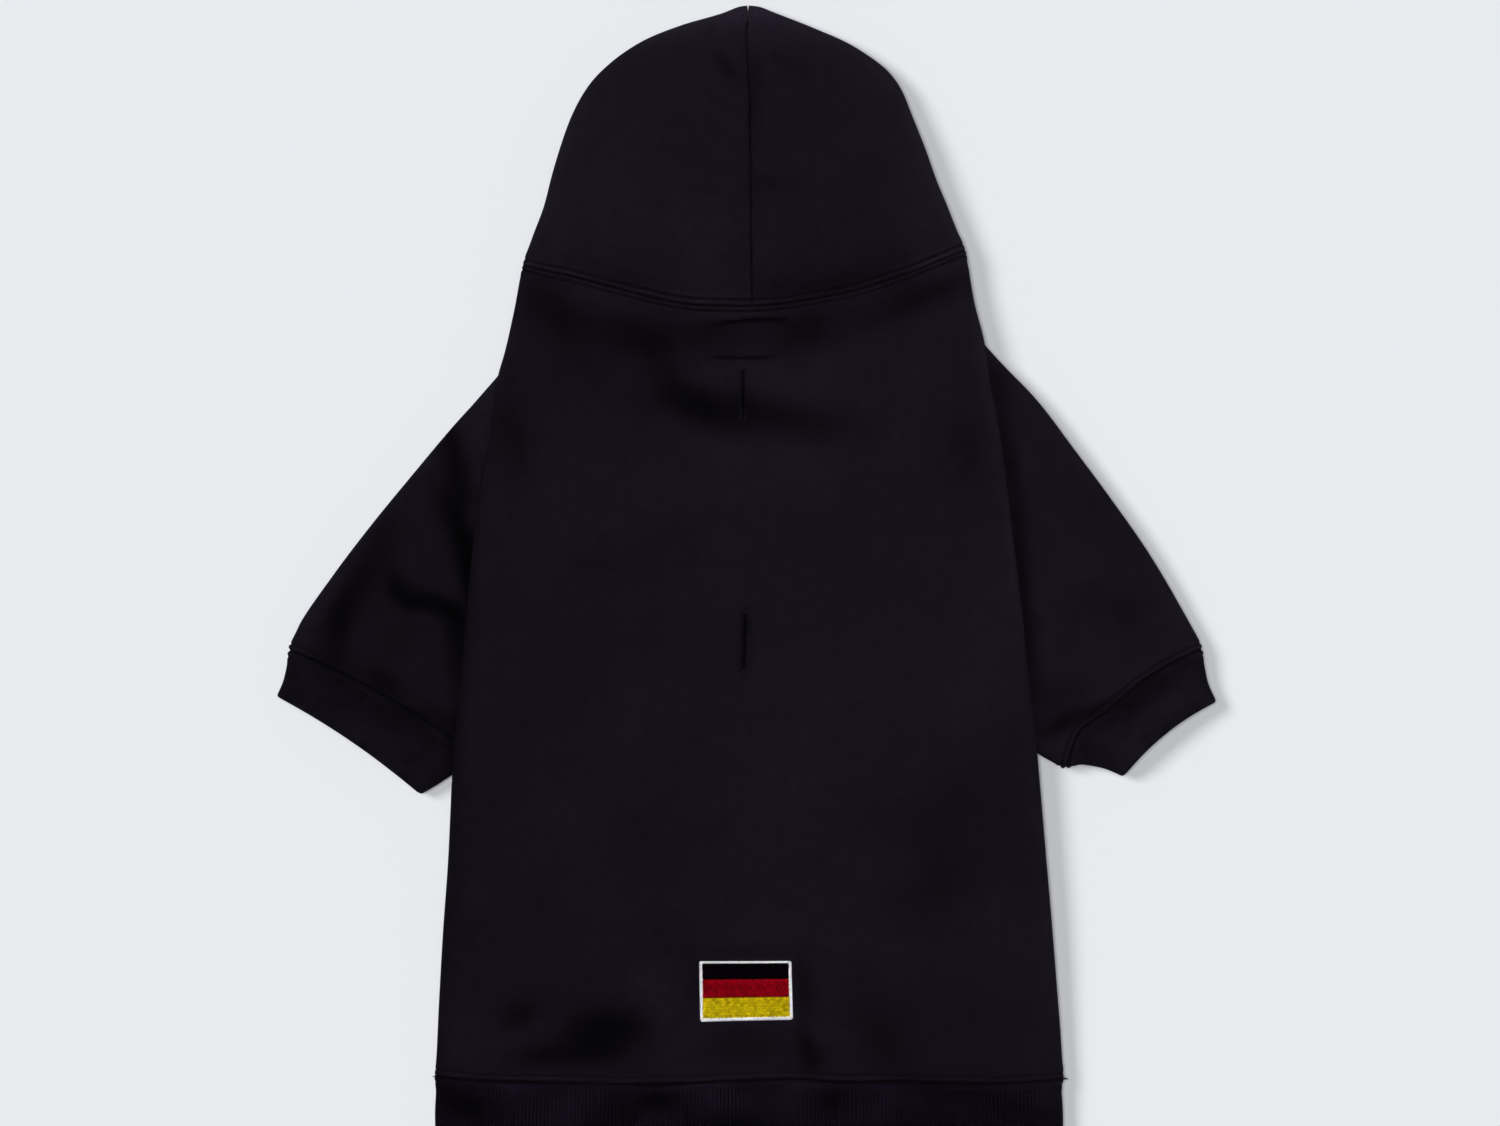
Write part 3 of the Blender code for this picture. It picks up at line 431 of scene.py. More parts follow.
def folds_at(kind, x, y):
    """Depth of the soft folds at a point, in millimetres, and the painted shade over them, from 0 to 1, which is a
    painted highlight below 0.
    """
    depth, light = np.zeros(np.shape(x)), np.ones(np.shape(x))
    for row in zip(*FOLDS[kind].columns.values()):
        fold_x, fold_y, turn, length, width, deep, lip, shade = row
        c, s = math.cos(math.radians(turn)), math.sin(math.radians(turn))
        dx, dy = x - fold_x, fold_y - y
        along = (dx * c + dy * s) / length
        across = (dy * c - dx * s) / width
        # A fold wanders a little and fades out at its ends
        across = across - 0.15 * np.sin(2.4 * along + fold_x)
        fade = np.exp(-(along**2) * (1 + 0.4 * along**2))
        depth += deep * fade * (np.exp(-(across**2)) - lip * np.exp(-((across - 1.9) ** 2) / 1.2))
        light *= 1 - shade * fade * np.exp(-((0.85 * across) ** 2))
    # The underarm pleat is sunk and also carries a painted shade, nearly black
    if kind == "left":
        pleat = underarm_pleat(x, y)
        depth = depth * (1 - pleat) + 3.6 * pleat
        light *= 1 - 0.93 * pleat
    return depth, 1 - light


def hollows(kind, x, y):
    return folds_at(kind, x, y)[0]


def underarm_pleat(x, y):
    """The left sleeve's pleat beside the body, a three-cornered pocket with its point below, from 0 to 1."""
    outer = np.interp(y, [505, 511, 536, 580, 612, 640], [449, 450.8, 455.5, 461.8, 467.0, 472])
    upper = 511 + (x - 450.8) * 25 / 22
    rise = lambda t: 0.5 + 0.5 * np.tanh(t)
    return rise((x - outer) / 2.2) * rise((y - upper) / 4.5) * rise((597 - y) / 5)


def waves(x, y, seed, shortest, longest, count=26):
    """Gentle unevenness, with a root mean square of 1, from waves of random length and heading."""
    dice = np.random.default_rng(seed)
    total = np.zeros(np.shape(x))
    for _ in range(count):
        length = shortest * (longest / shortest) ** dice.random()
        heading, phase = dice.random() * math.tau, dice.random() * math.tau
        wave = math.tau / length
        warp = 0.6 * np.sin(wave * 0.37 * (x * math.sin(heading) - y * math.cos(heading)) + phase * 2)
        total += np.sin(wave * (x * math.cos(heading) + y * math.sin(heading)) + phase + warp)
    return total * math.sqrt(2 / count)


STATIONS = np.linspace(CROWN, BAND_END, 200)
OUTLINE_X = np.concatenate([TORSO("left_x", STATIONS[::-1]), TORSO("right_x", STATIONS)])
OUTLINE_Y = np.concatenate([TORSO("left_y", STATIONS[::-1]), TORSO("right_y", STATIONS)])


def world(x, y, z_mm):
    return np.stack([(x - CENTRE_X) * UNIT, (CENTRE_Y - y) * UNIT, z_mm * MM + 0.0 * x], axis=-1)


def fold_width(mid, edge):
    return np.minimum(BACK_ROUND, (edge - mid) ** 2 / 3.2 * MM)


def body_levels(c, right, side_y):
    """Heights at the outline and just inside the side fold."""
    passing = np.where(right, RIGHT_PASS("height", side_y), LEFT_PASS("height", side_y))
    mid = np.maximum(TORSO("mid", c), passing)
    over = np.clip((passing - TORSO("mid", c)) / 2.0, 0, 1)
    edge = np.maximum(TORSO("edge", c), mid + 5.5 - 1.7 * over)
    return mid, edge


def torso_height(x, y, u, c, right, side_y):
    """Height of the upper cloth, in millimetres."""
    mid, edge = body_levels(c, right, side_y)
    crown = TORSO("crown", c)
    inside = line_distance(x, y, OUTLINE_X, OUTLINE_Y) * UNIT
    rise = quarter(inside / fold_width(mid, edge))
    height = mid + (edge - mid) * rise + (crown - edge) * (1.0 - u * u)
    soft = np.clip(inside / 0.016, 0, 1)
    on_hood = np.clip((NECK - c) / 6 + 0.5, 0, 1)
    folds = hollows("back", x, y) * (1 - on_hood) + hollows("hood", x, y) * on_hood
    uneven = 0.34 * waves(x, y, 5, 70, 240) + 0.10 * waves(x, y, 8, 26, 60)
    near_slit = 0.0
    for slit in SLITS:
        low, high = slit.stations[0], slit.stations[-1]
        past = np.maximum(np.maximum(low - y, y - high), 0)
        near_slit = near_slit + 0.7 * bump(x - 743.8, 7.0) * bump(past, 7.0)
    return height - folds * rise + (uneven * soft - near_slit) * rise, mid, inside


def torso(c, p, hood):
    """Outer point of the torso at station c. p is 0 on the back's centre line, 1 where the side fold starts,
    2 at the outline, 3 where the fold ends underneath and 4 at the face edge or the belly's centre line.
    It is negative on the left."""
    c, p = np.broadcast_arrays(np.asarray(c, float), np.asarray(p, float))
    right, a = p > 0, np.abs(p)
    centre = TORSO("centre", c)
    side_x = np.where(right, TORSO("right_x", c), TORSO("left_x", c))
    side_y = np.where(right, TORSO("right_y", c), TORSO("left_y", c))
    length = np.hypot(side_x - centre, side_y - c) * UNIT
    low = fold_width(TORSO("mid", c), TORSO("edge", c))
    fold = np.minimum(1.3 * low / length, 0.6)
    turn = (2 - np.clip(a, 1, 2)) * math.pi / 2
    u = np.where(a < 1, a * (1 - fold), 1 - fold * (1 - np.cos(turn)))
    x = centre + u * (side_x - centre)
    y = side_y + (c - side_y) * (1 - u * u)
    z, mid, inside = torso_height(x, y, u, c, right, side_y)
    if np.max(a) > 2:
        half = FACE("half", c) if hood else 0.0 * c
        drop = FACE("drop", c) if hood else 0.0 * c
        face_x = centre + np.where(right, half, -half)
        reach = np.minimum(half / np.maximum(np.abs(side_x - centre), 1e-6), 1.0)
        face_y = side_y + (c - side_y) * (1 - reach**2) + drop
        bulge = (c - side_y) * (1 - reach) ** 2 / 4
        length = np.hypot(face_x - side_x, face_y - side_y) * UNIT
        fold = np.minimum(UNDER_ROUND / length, 0.7)
        turn = (np.clip(a, 2, 3) - 2) * math.pi / 2
        w = np.where(a < 3, fold * (1 - np.cos(turn)), fold + (np.clip(a, 3, 4) - 3) * (1 - fold))
        under_x = side_x + w * (face_x - side_x)
        under_y = side_y + w * (face_y - side_y) + 4 * w * (1 - w) * bulge
        inside = line_distance(under_x, under_y, OUTLINE_X, OUTLINE_Y) * UNIT
        inside = np.where(a >= 3, 1.0, inside)
        under_z = mid * (1 - quarter(inside / UNDER_ROUND))
        x = np.where(a > 2, under_x, x)
        y = np.where(a > 2, under_y, y)
        z = np.where(a > 2, under_z, np.where(a > 2 - 1e-9, mid, z))
    return world(x, y, z)


ARM_STATIONS = np.linspace(0, CUFF_END, 100)
ARMHOLE_FLUSH = {"left": (380, 508), "right": (352, 392)}  # y between which the sleeve lies level with the body


def body_edge(outline, y):
    """x of the body's outline at y."""
    order = np.argsort(TORSO(outline + "_y", STATIONS))
    return np.interp(y, TORSO(outline + "_y", STATIONS)[order], TORSO(outline + "_x", STATIONS)[order])


def hem_sag(x, c, p):
    """How far the hem seam hangs below its even line, in metres, fading out away from it."""
    line = smooth(
        np.array([430, 480, 510, 570, 630, 660, 690, 720, 780, 840, 900, 960, 1020, 1065.0]),
        np.array([6.5, 8.0, 6.8, 4.4, 3.0, 2.4, 1.0, -0.8, -3.8, 0.2, 2.6, 6.2, 10.2, 10.0]),
        x,
    )
    return -line * UNIT * bump(c - HEM, 30) * np.clip((2.6 - np.abs(p)) / 0.6, 0, 1)


def neck_sag(x, c, p):
    """How far the neck seam wanders from its even line, in metres, fading out away from it."""
    line = smooth(
        np.array([523, 545, 575, 605, 635, 665, 695, 725, 755, 785, 815, 845, 875, 905, 935, 965.0]),
        np.array([-1.0, -2.0, -4.4, -3.8, -2.0, 1.0, 2.0, 1.2, 0.6, -0.8, -2.0, -2.4, -3.2, -4.0, -4.0, -3.0]),
        x,
    )
    return -line * UNIT * bump(c - NECK, 26) * np.clip((2.6 - np.abs(p)) / 0.6, 0, 1)


def arm(table, kind, k, b, right):
    """Outer point of a sleeve or cuff on row k. b runs from 0 at the outer fold over the top to 1 at the
    underarm fold and back underneath to 2."""
    k, b = np.broadcast_arrays(np.asarray(k, float), np.asarray(b, float))
    b = np.mod(b, 2.0)
    out_x, out_y = table("out_x", k), table("out_y", k)
    in_x, in_y = table("in_x", k), table("in_y", k)
    dx, dy = in_x - out_x, in_y - out_y
    length = np.hypot(dx, dy)
    top = b <= 1
    t = np.where(top, b, 2 - b)
    fold = np.minimum(np.where(top, ARM_ROUND, ARM_UNDER_ROUND) * 1.2 / (length * UNIT), 0.35)
    start = fold * (1 - np.cos(np.clip(t / 0.25, 0, 1) * math.pi / 2))
    finish = 1 - fold * (1 - np.cos(np.clip((1 - t) / 0.25, 0, 1) * math.pi / 2))
    middle = fold + (1 - 2 * fold) * (t - 0.25) / 0.5
    s = np.where(t < 0.25, start, np.where(t > 0.75, finish, middle))
    nx, ny = dy / length, -dx / length
    side = -1.0 if right else 1.0
    bow = table("bow", k) * 4 * s * (1 - s) * side
    if right:
        # The cuff seam swings up beside the underarm
        bow = bow - 10 * bump(k - CUFF_SEAM, 0.9) * (bump(s - 0.82, 0.14) - bump(1 - 0.82, 0.14) * s)
    x, y = out_x + s * dx + bow * nx, out_y + s * dy + bow * ny
    outline = "right" if right else "left"
    root_y = table("out_y", 0.0) + s * (table("in_y", 0.0) - table("out_y", 0.0))
    root_x = body_edge(outline, root_y) + side * (UNDER_ROUND - ROOT_PLAY) / UNIT
    straight = table("out_x", 0.0) + s * (table("in_x", 0.0) - table("out_x", 0.0))
    x = x + np.clip(1 - k / 1.5, 0, 1) * (root_x - straight)
    inside = (
        np.minimum(
            line_distance(x, y, table("out_x", ARM_STATIONS), table("out_y", ARM_STATIONS)),
            line_distance(x, y, table("in_x", ARM_STATIONS), table("in_y", ARM_STATIONS)),
        )
        * UNIT
    )
    inside = np.where((s < 1e-6) | (s > 1 - 1e-6), 0.0, inside)
    mid, edge, crown = table("mid", k), table("edge", k), table("crown", k)
    rise = quarter(inside / ARM_ROUND)
    upper = mid + (edge - mid) * rise + (crown - edge) * 4 * s * (1 - s)
    soft = np.clip(inside / 0.012, 0, 1)
    fade = np.clip(k, 0, 1) * np.clip((CUFF_END - k) / 3.0, 0.25, 1)
    uneven = 0.26 * waves(x, y, 11, 60, 160) + 0.08 * waves(x, y, 12, 24, 50)
    beyond = (body_edge(outline, y) - x) * side
    clear = np.clip(beyond / 14, 0, 1)
    depth = hollows(kind, x, y)
    depth = np.where(depth < 0, depth * clear, depth)
    low, high = ARMHOLE_FLUSH[kind]
    flush = 1 / (1 + np.exp((y - high) / 6)) * np.clip((y - low) / 12, 0, 1)
    strip = 1.5 * flush * np.where(beyond < 2.0, bump(beyond - 2.0, 1.5), bump(beyond - 2.0, 14.0))
    upper = upper - ((depth - uneven * soft * clear) * fade - strip) * rise
    lower = mid * (1 - quarter(inside / ARM_UNDER_ROUND))
    return world(x, y, np.where(top, upper, lower))


def steps(*stops):
    """Stations from (start, end, count) runs that follow on from each other."""
    parts = [np.linspace(a, b, n + 1)[:-1] for a, b, n in stops]
    return np.concatenate(parts + [[stops[-1][1]]])


# Distances from a seam, in metres, at which a piece has a row, close enough for its rounded edge and its stitches
SEAM_ROWS = MM * np.array([0.06, 0.14, 0.28, 0.5, 0.8, 1.15, 1.55, 2.0, 2.35, 2.6, 2.8, 3.0, 3.2, 3.4, 3.65, 4.0, 4.6, 5.6, 7.0])
EDGE_ROWS = MM * np.array([0.0, 0.05, 0.15, 0.3, 0.5, 0.75, 1.05, 1.4, 1.9, 2.6])


def between(start, end, unit, step, near_start=None, near_end=None):
    """Stations from start to end, step metres apart, where one station is unit metres, with the given distances
    from either end first."""
    a = start + near_start / unit if near_start is not None else np.array([start])
    b = end - near_end / unit if near_end is not None else np.array([end])
    count = max(1, int(round((b.min() - a.max()) * unit / step)))
    middle = np.linspace(a.max(), b.min(), count + 1)[1:-1]
    return np.sort(np.concatenate([a, middle, b]))


def station_at(column, value):
    return float(np.interp(value, TORSO(column, STATIONS), STATIONS))


def lengths(grid, axis):
    """Distance run along a grid's rows or columns."""
    step = np.linalg.norm(np.diff(grid, axis=axis), axis=-1)
    zero = np.zeros_like(np.take(step, [0], axis=axis))
    return np.concatenate([zero, np.cumsum(step, axis=axis)], axis=axis)


def grid_normals(grid, ring):
    across = np.roll(grid, -1, 1) - np.roll(grid, 1, 1) if ring else np.gradient(grid, axis=1)
    down = np.gradient(grid, axis=0)
    n = np.cross(across, down)
    return n / np.maximum(np.linalg.norm(n, axis=-1, keepdims=True), 1e-12)


def mesh_object(name, verts, faces, material, uv=None, fold=None, smooth_faces=True):
    """A mesh from vertices and quads or triangles. uv is a pair for each corner of each face."""
    mesh = bpy.data.meshes.new(name)
    faces = np.asarray(faces, np.int32)
    mesh.vertices.add(len(verts))
    mesh.vertices.foreach_set("co", np.asarray(verts, np.float32).ravel())
    mesh.loops.add(faces.size)
    mesh.loops.foreach_set("vertex_index", faces.ravel())
    mesh.polygons.add(len(faces))
    mesh.polygons.foreach_set("loop_start", np.arange(0, faces.size, faces.shape[1], dtype=np.int32))
    mesh.update(calc_edges=True)
    mesh.validate()
    if uv is not None:
        layer = mesh.uv_layers.new(name="cloth")
        layer.uv.foreach_set("vector", np.asarray(uv, np.float32).ravel())
    # The fold attribute carries painted shade, and painted highlight where it is below 0, for the material
    if fold is not None:
        mesh.attributes.new("fold", "FLOAT", "POINT").data.foreach_set("value", np.asarray(fold, np.float32).ravel())
    if smooth_faces:
        mesh.shade_smooth()
    mesh.materials.append(material)
    made = bpy.data.objects.new(name, mesh)
    bpy.context.scene.collection.objects.link(made)
    return made


def cloth(
    name, surface, relief, edge, thickness, material, keep=None, ring=False, normal=None, fold=None, flip=False,
    least=0.06, tight=1.0,
):
    """A wall of cloth. surface is its outer face before relief, which is added along the normals in metres. edge is
    the distance to a turned or sewn edge, where both faces round over towards the middle of the cloth. least is the
    share of the thickness left at the edge, and tight scales the width of the rounding."""
    rows, columns = surface.shape[:2]
    n = grid_normals(surface, ring) if normal is None else normal
    half = (thickness / 2 + 0.0 * edge)[..., None]
    tight = (tight + 0.0 * edge)[..., None]
    full = np.maximum(quarter(edge[..., None] / (half * 1.05 * tight)), (least + 0.0 * edge)[..., None])
    outer = surface - half * n * (1 - full) + (relief[..., None] * full) * n
    inner = surface - half * n * (1 + full)
    across = columns if ring else columns - 1
    if keep is None:
        keep = np.ones((rows - 1, across), bool)
    r, c = np.nonzero(keep)
    c2 = (c + 1) % columns
    index = lambda r, c: r * columns + c
    a, b, d, e = index(r, c), index(r, c2), index(r + 1, c2), index(r + 1, c)
    base = rows * columns
    top = np.stack([a, e, d, b], 1)
    under = np.stack([a, b, d, e], 1) + base
    # Arc lengths are the cloth's own coordinates, counted from the middle of the rows
    closed = np.concatenate([surface, surface[:, :1]], 1) if ring else surface
    u = lengths(closed, 1)
    u = u - u[:, [closed.shape[1] // 2]]
    v = np.broadcast_to(lengths(surface, 0).mean(1, keepdims=True), surface.shape[:2])
    v = np.concatenate([v, v[:, :1]], 1) if ring else v
    corner = lambda r, c: np.stack([u[r, c], v[r, c]], -1)
    ca, cb, cd, ce = corner(r, c), corner(r, c + 1), corner(r + 1, c + 1), corner(r + 1, c)
    faces, uvs = [top, under], [np.stack([ca, ce, cd, cb], 1), np.stack([ca, cb, cd, ce], 1)]
    # Rims where a kept cell has no kept neighbour
    padded = np.zeros((rows + 1, across + 2), bool)
    padded[1:-1, 1:-1] = keep
    if ring:
        padded[1:-1, 0], padded[1:-1, -1] = keep[:, -1], keep[:, 0]
    for dr, dc, first, second in (
        (-1, 0, (0, 0), (0, 1)),
        (1, 0, (1, 1), (1, 0)),
        (0, -1, (1, 0), (0, 0)),
        (0, 1, (0, 1), (1, 1)),
    ):
        open_side = keep & ~padded[1 + dr : rows + dr, 1 + dc : across + 1 + dc]
        rr, cc = np.nonzero(open_side)
        p, q = index(rr + first[0], (cc + first[1]) % columns), index(rr + second[0], (cc + second[1]) % columns)
        cp, cq = corner(rr + first[0], cc + first[1]), corner(rr + second[0], cc + second[1])
        faces.append(np.stack([p, q, q + base, p + base], 1))
        uvs.append(np.stack([cp, cq, cq, cp], 1))
    faces, uvs = np.concatenate(faces), np.concatenate(uvs)
    if flip:
        faces, uvs = faces[:, ::-1], uvs[:, ::-1]
    verts = np.concatenate([outer.reshape(-1, 3), inner.reshape(-1, 3)])
    # The outer face carries the painted shade and highlight given in fold, the inner face none
    shade = np.zeros(len(verts)) if fold is None else np.concatenate([fold.ravel(), fold.ravel() * 0])
    used = np.unique(faces)
    renumber = np.zeros(len(verts), np.int32)
    renumber[used] = np.arange(len(used))
    made = mesh_object(name, verts[used], renumber[faces], material, uvs, shade[used])
    return made, outer, n


def free_edges(surface, keep, ring):
    """Distance of each point to the nearest edge of the kept cells, along its own row or column, in metres."""
    rows, columns = surface.shape[:2]
    down, along = lengths(surface, 0), lengths(surface, 1)
    distance = np.full((rows, columns), 1.0)
    none = np.zeros_like(keep[:1])
    cross = np.vstack([none, keep]) != np.vstack([keep, none])
    marked = np.zeros((rows, columns), bool)
    if ring:
        marked = cross | np.roll(cross, 1, 1)
    else:
        marked[:, :-1] |= cross
        marked[:, 1:] |= cross
    for r in np.nonzero(marked.any(1))[0]:
        c = np.nonzero(marked[r])[0]
        distance[:, c] = np.minimum(distance[:, c], np.abs(down[:, c] - down[r, c]))
    if not ring:
        none = np.zeros_like(keep[:, :1])
        cross = np.hstack([none, keep]) != np.hstack([keep, none])
        marked = np.zeros((rows, columns), bool)
        marked[:-1] |= cross
        marked[1:] |= cross
        for c in np.nonzero(marked.any(0))[0]:
            r = np.nonzero(marked[:, c])[0]
            distance[r] = np.minimum(distance[r], np.abs(along[r] - along[r, c][:, None]))
    return distance


def to_table(points):
    """Table position of points in metres."""
    return points[..., 0] / UNIT + CENTRE_X, CENTRE_Y - points[..., 1] / UNIT


def seam_relief(distance, x, y, seed, gauge, deep):
    """Relief beside a sewn seam, in metres: the padded strip along the seam, the sunk row of stitches at gauge
    from it, deep millimetres down, the swell beyond it and the small puckers that the stitches draw."""
    strip = (0.22 + 0.25 * deep) * bump(distance - 0.52 * gauge, 0.36 * gauge)
    groove = deep * bump(distance - gauge, 0.00042)
    swell = 0.45 * deep * bump(distance - gauge - 0.0016, 0.0011)
    pucker = waves(x, y, seed, 9, 22) * (0.09 * bump(distance - 0.0014, 0.0014) + 0.11 * bump(distance - 0.0058, 0.004))
    return (strip - groove + swell + pucker) * MM


def seam_shade(edge, distance=None, gauge=GAUGE, deep=0.5, ridge_highlight=0.2):
    """Painted shade in a seam's ditch and along its row of stitches, and a painted highlight on the ridge between them
    and beyond the row, below 0.
    """
    shade = 0.97 * (1 - quarter(edge / 0.00125))
    if distance is not None:
        shade = np.maximum(shade, min(0.92, 1.15 * deep) * bump(distance - gauge, 0.00052))
        shade = shade - ridge_highlight * bump(distance - 0.5 * gauge, 0.24 * gauge)
        shade = shade - 0.7 * ridge_highlight * bump(distance - gauge - 0.0015, 0.0009)
    return shade


def sides(places, at, width):
    """1 at the given places round a ring or across a panel, falling to 0 within a width."""
    return np.max([bump(places - one, width) for one in at], axis=0)


DEEP_GAUGE = 0.0024  # the deeper row of stitches, on the back's side of the neck seam


def along_columns(outer, normal, distance, value, pick=None):
    """The line on the cloth at one distance from a seam: a point and a normal for each column."""
    columns = np.arange(outer.shape[1]) if pick is None else pick
    points, ups = [], []
    for c in columns:
        d = distance[:, c]
        order = np.argsort(d)
        points.append([np.interp(value, d[order], outer[order, c, i]) for i in range(3)])
        ups.append([np.interp(value, d[order], normal[order, c, i]) for i in range(3)])
    return np.array(points), np.array(ups)


def on_path(points, ups, where):
    """Points and normals at given lengths along a path. where may have any shape."""
    run = np.concatenate([[0], np.cumsum(np.linalg.norm(np.diff(points, axis=0), axis=1))])
    place = np.stack([np.interp(where, run, points[:, i]) for i in range(3)], -1)
    up = np.stack([np.interp(where, run, ups[:, i]) for i in range(3)], -1)
    return place, up / np.linalg.norm(up, axis=-1, keepdims=True)


def path_length(points):
    return float(np.linalg.norm(np.diff(points, axis=0), axis=1).sum())


def tubes(paths, ups, radius, taper, sides=6, wide=1.0):
    """Threads round many short paths at once. paths is (threads, points, 3) and taper the radius at each point."""
    tangent = np.gradient(paths, axis=1)
    tangent /= np.maximum(np.linalg.norm(tangent, axis=-1, keepdims=True), 1e-12)
    across = np.cross(tangent, ups)
    across /= np.maximum(np.linalg.norm(across, axis=-1, keepdims=True), 1e-12)
    up = np.cross(across, tangent)
    angle = np.arange(sides) / sides * math.tau
    size = (radius * np.asarray(taper))[None, :, None, None]
    ring = np.cos(angle)[None, None, :, None] * across[:, :, None] * wide + np.sin(angle)[None, None, :, None] * up[:, :, None]
    verts = paths[:, :, None] + size * ring
    count, points = paths.shape[:2]
    index = np.arange(count * points * sides).reshape(count, points, sides)
    after = np.roll(index, -1, 2)
    sleeve = np.stack([index[:, :-1], index[:, 1:], after[:, 1:], after[:, :-1]], -1).reshape(-1, 4)
    first, last = index[:, 0], index[:, -1]
    caps = [first[:, [0, 1, 2, 3]], first[:, [0, 3, 4, 5]], last[:, [3, 2, 1, 0]], last[:, [5, 4, 3, 0]]]
    return verts.reshape(-1, 3), np.concatenate([sleeve, *caps])


def stitch_line(points, ups, length, pitch, radius, lift=0.0, dive=0.00035, start=0.0):
    """A row of stitches along a path: each thread lies on the cloth and dives into it at both ends."""
    total = path_length(points)
    middle = np.arange(start + pitch / 2, total - length / 2, pitch)
    if not len(middle):
        return None
    t = np.array([-1.0, -0.86, -0.45, 0.0, 0.45, 0.86, 1.0])
    place, up = on_path(points, ups, middle[:, None] + t[None] * length / 2)
    height = lift + radius * 0.35 - dive * np.abs(t) ** 5
    place = place + up * height[None, :, None]
    return tubes(place, up, radius, (0.55, 0.9, 1, 1, 1, 0.9, 0.55))


def join(parts):
    """One set of vertices and faces from several."""
    parts = [p for p in parts if p is not None]
    verts, faces, start = [], [], 0
    for v, f in parts:
        verts.append(v)
        faces.append(f + start)
        start += len(v)
    return np.concatenate(verts), np.concatenate(faces)


# ---------------------------------------------------------------- materials


def shader_of(name):
    material = bpy.data.materials.new(name)
    material.use_nodes = True
    return material, material.node_tree, material.node_tree.nodes["Principled BSDF"]


def node(tree, kind, **values):
    made = tree.nodes.new(kind)
    for key, value in values.items():
        if hasattr(made, key):
            setattr(made, key, value)
        else:
            made.inputs[key.replace("_", " ").title()].default_value = value
    return made


def maths(tree, operation, a, b=0.0, c=None, clamp=False):
    made = tree.nodes.new("ShaderNodeMath")
    made.operation = operation
    made.use_clamp = clamp
    for i, value in enumerate((a, b) if c is None else (a, b, c)):
        if isinstance(value, (int, float)):
            made.inputs[i].default_value = value
        else:
            tree.links.new(value, made.inputs[i])
    return made.outputs[0]


def noise(tree, place, scale, detail=2.0, rough=0.5, stretch=None):
    made = tree.nodes.new("ShaderNodeTexNoise")
    made.inputs["Scale"].default_value = scale
    made.inputs["Detail"].default_value = detail
    made.inputs["Roughness"].default_value = rough
    if stretch is not None:
        mapping = tree.nodes.new("ShaderNodeMapping")
        mapping.inputs["Scale"].default_value = stretch
        tree.links.new(place, mapping.inputs["Vector"])
        place = mapping.outputs[0]
    tree.links.new(place, made.inputs["Vector"])
    return made.outputs["Fac"]


def ramp(tree, value, low, high, colour_low, colour_high):
    """A colour that runs between two as value runs from low to high."""
    share = tree.nodes.new("ShaderNodeMapRange")
    share.inputs["From Min"].default_value = low
    share.inputs["From Max"].default_value = high
    tree.links.new(value, share.inputs["Value"])
    mix = tree.nodes.new("ShaderNodeMix")
    mix.data_type = "RGBA"
    mix.inputs[6].default_value = (*colour_low, 1)
    mix.inputs[7].default_value = (*colour_high, 1)
    tree.links.new(share.outputs[0], mix.inputs[0])
    return mix.outputs[2]


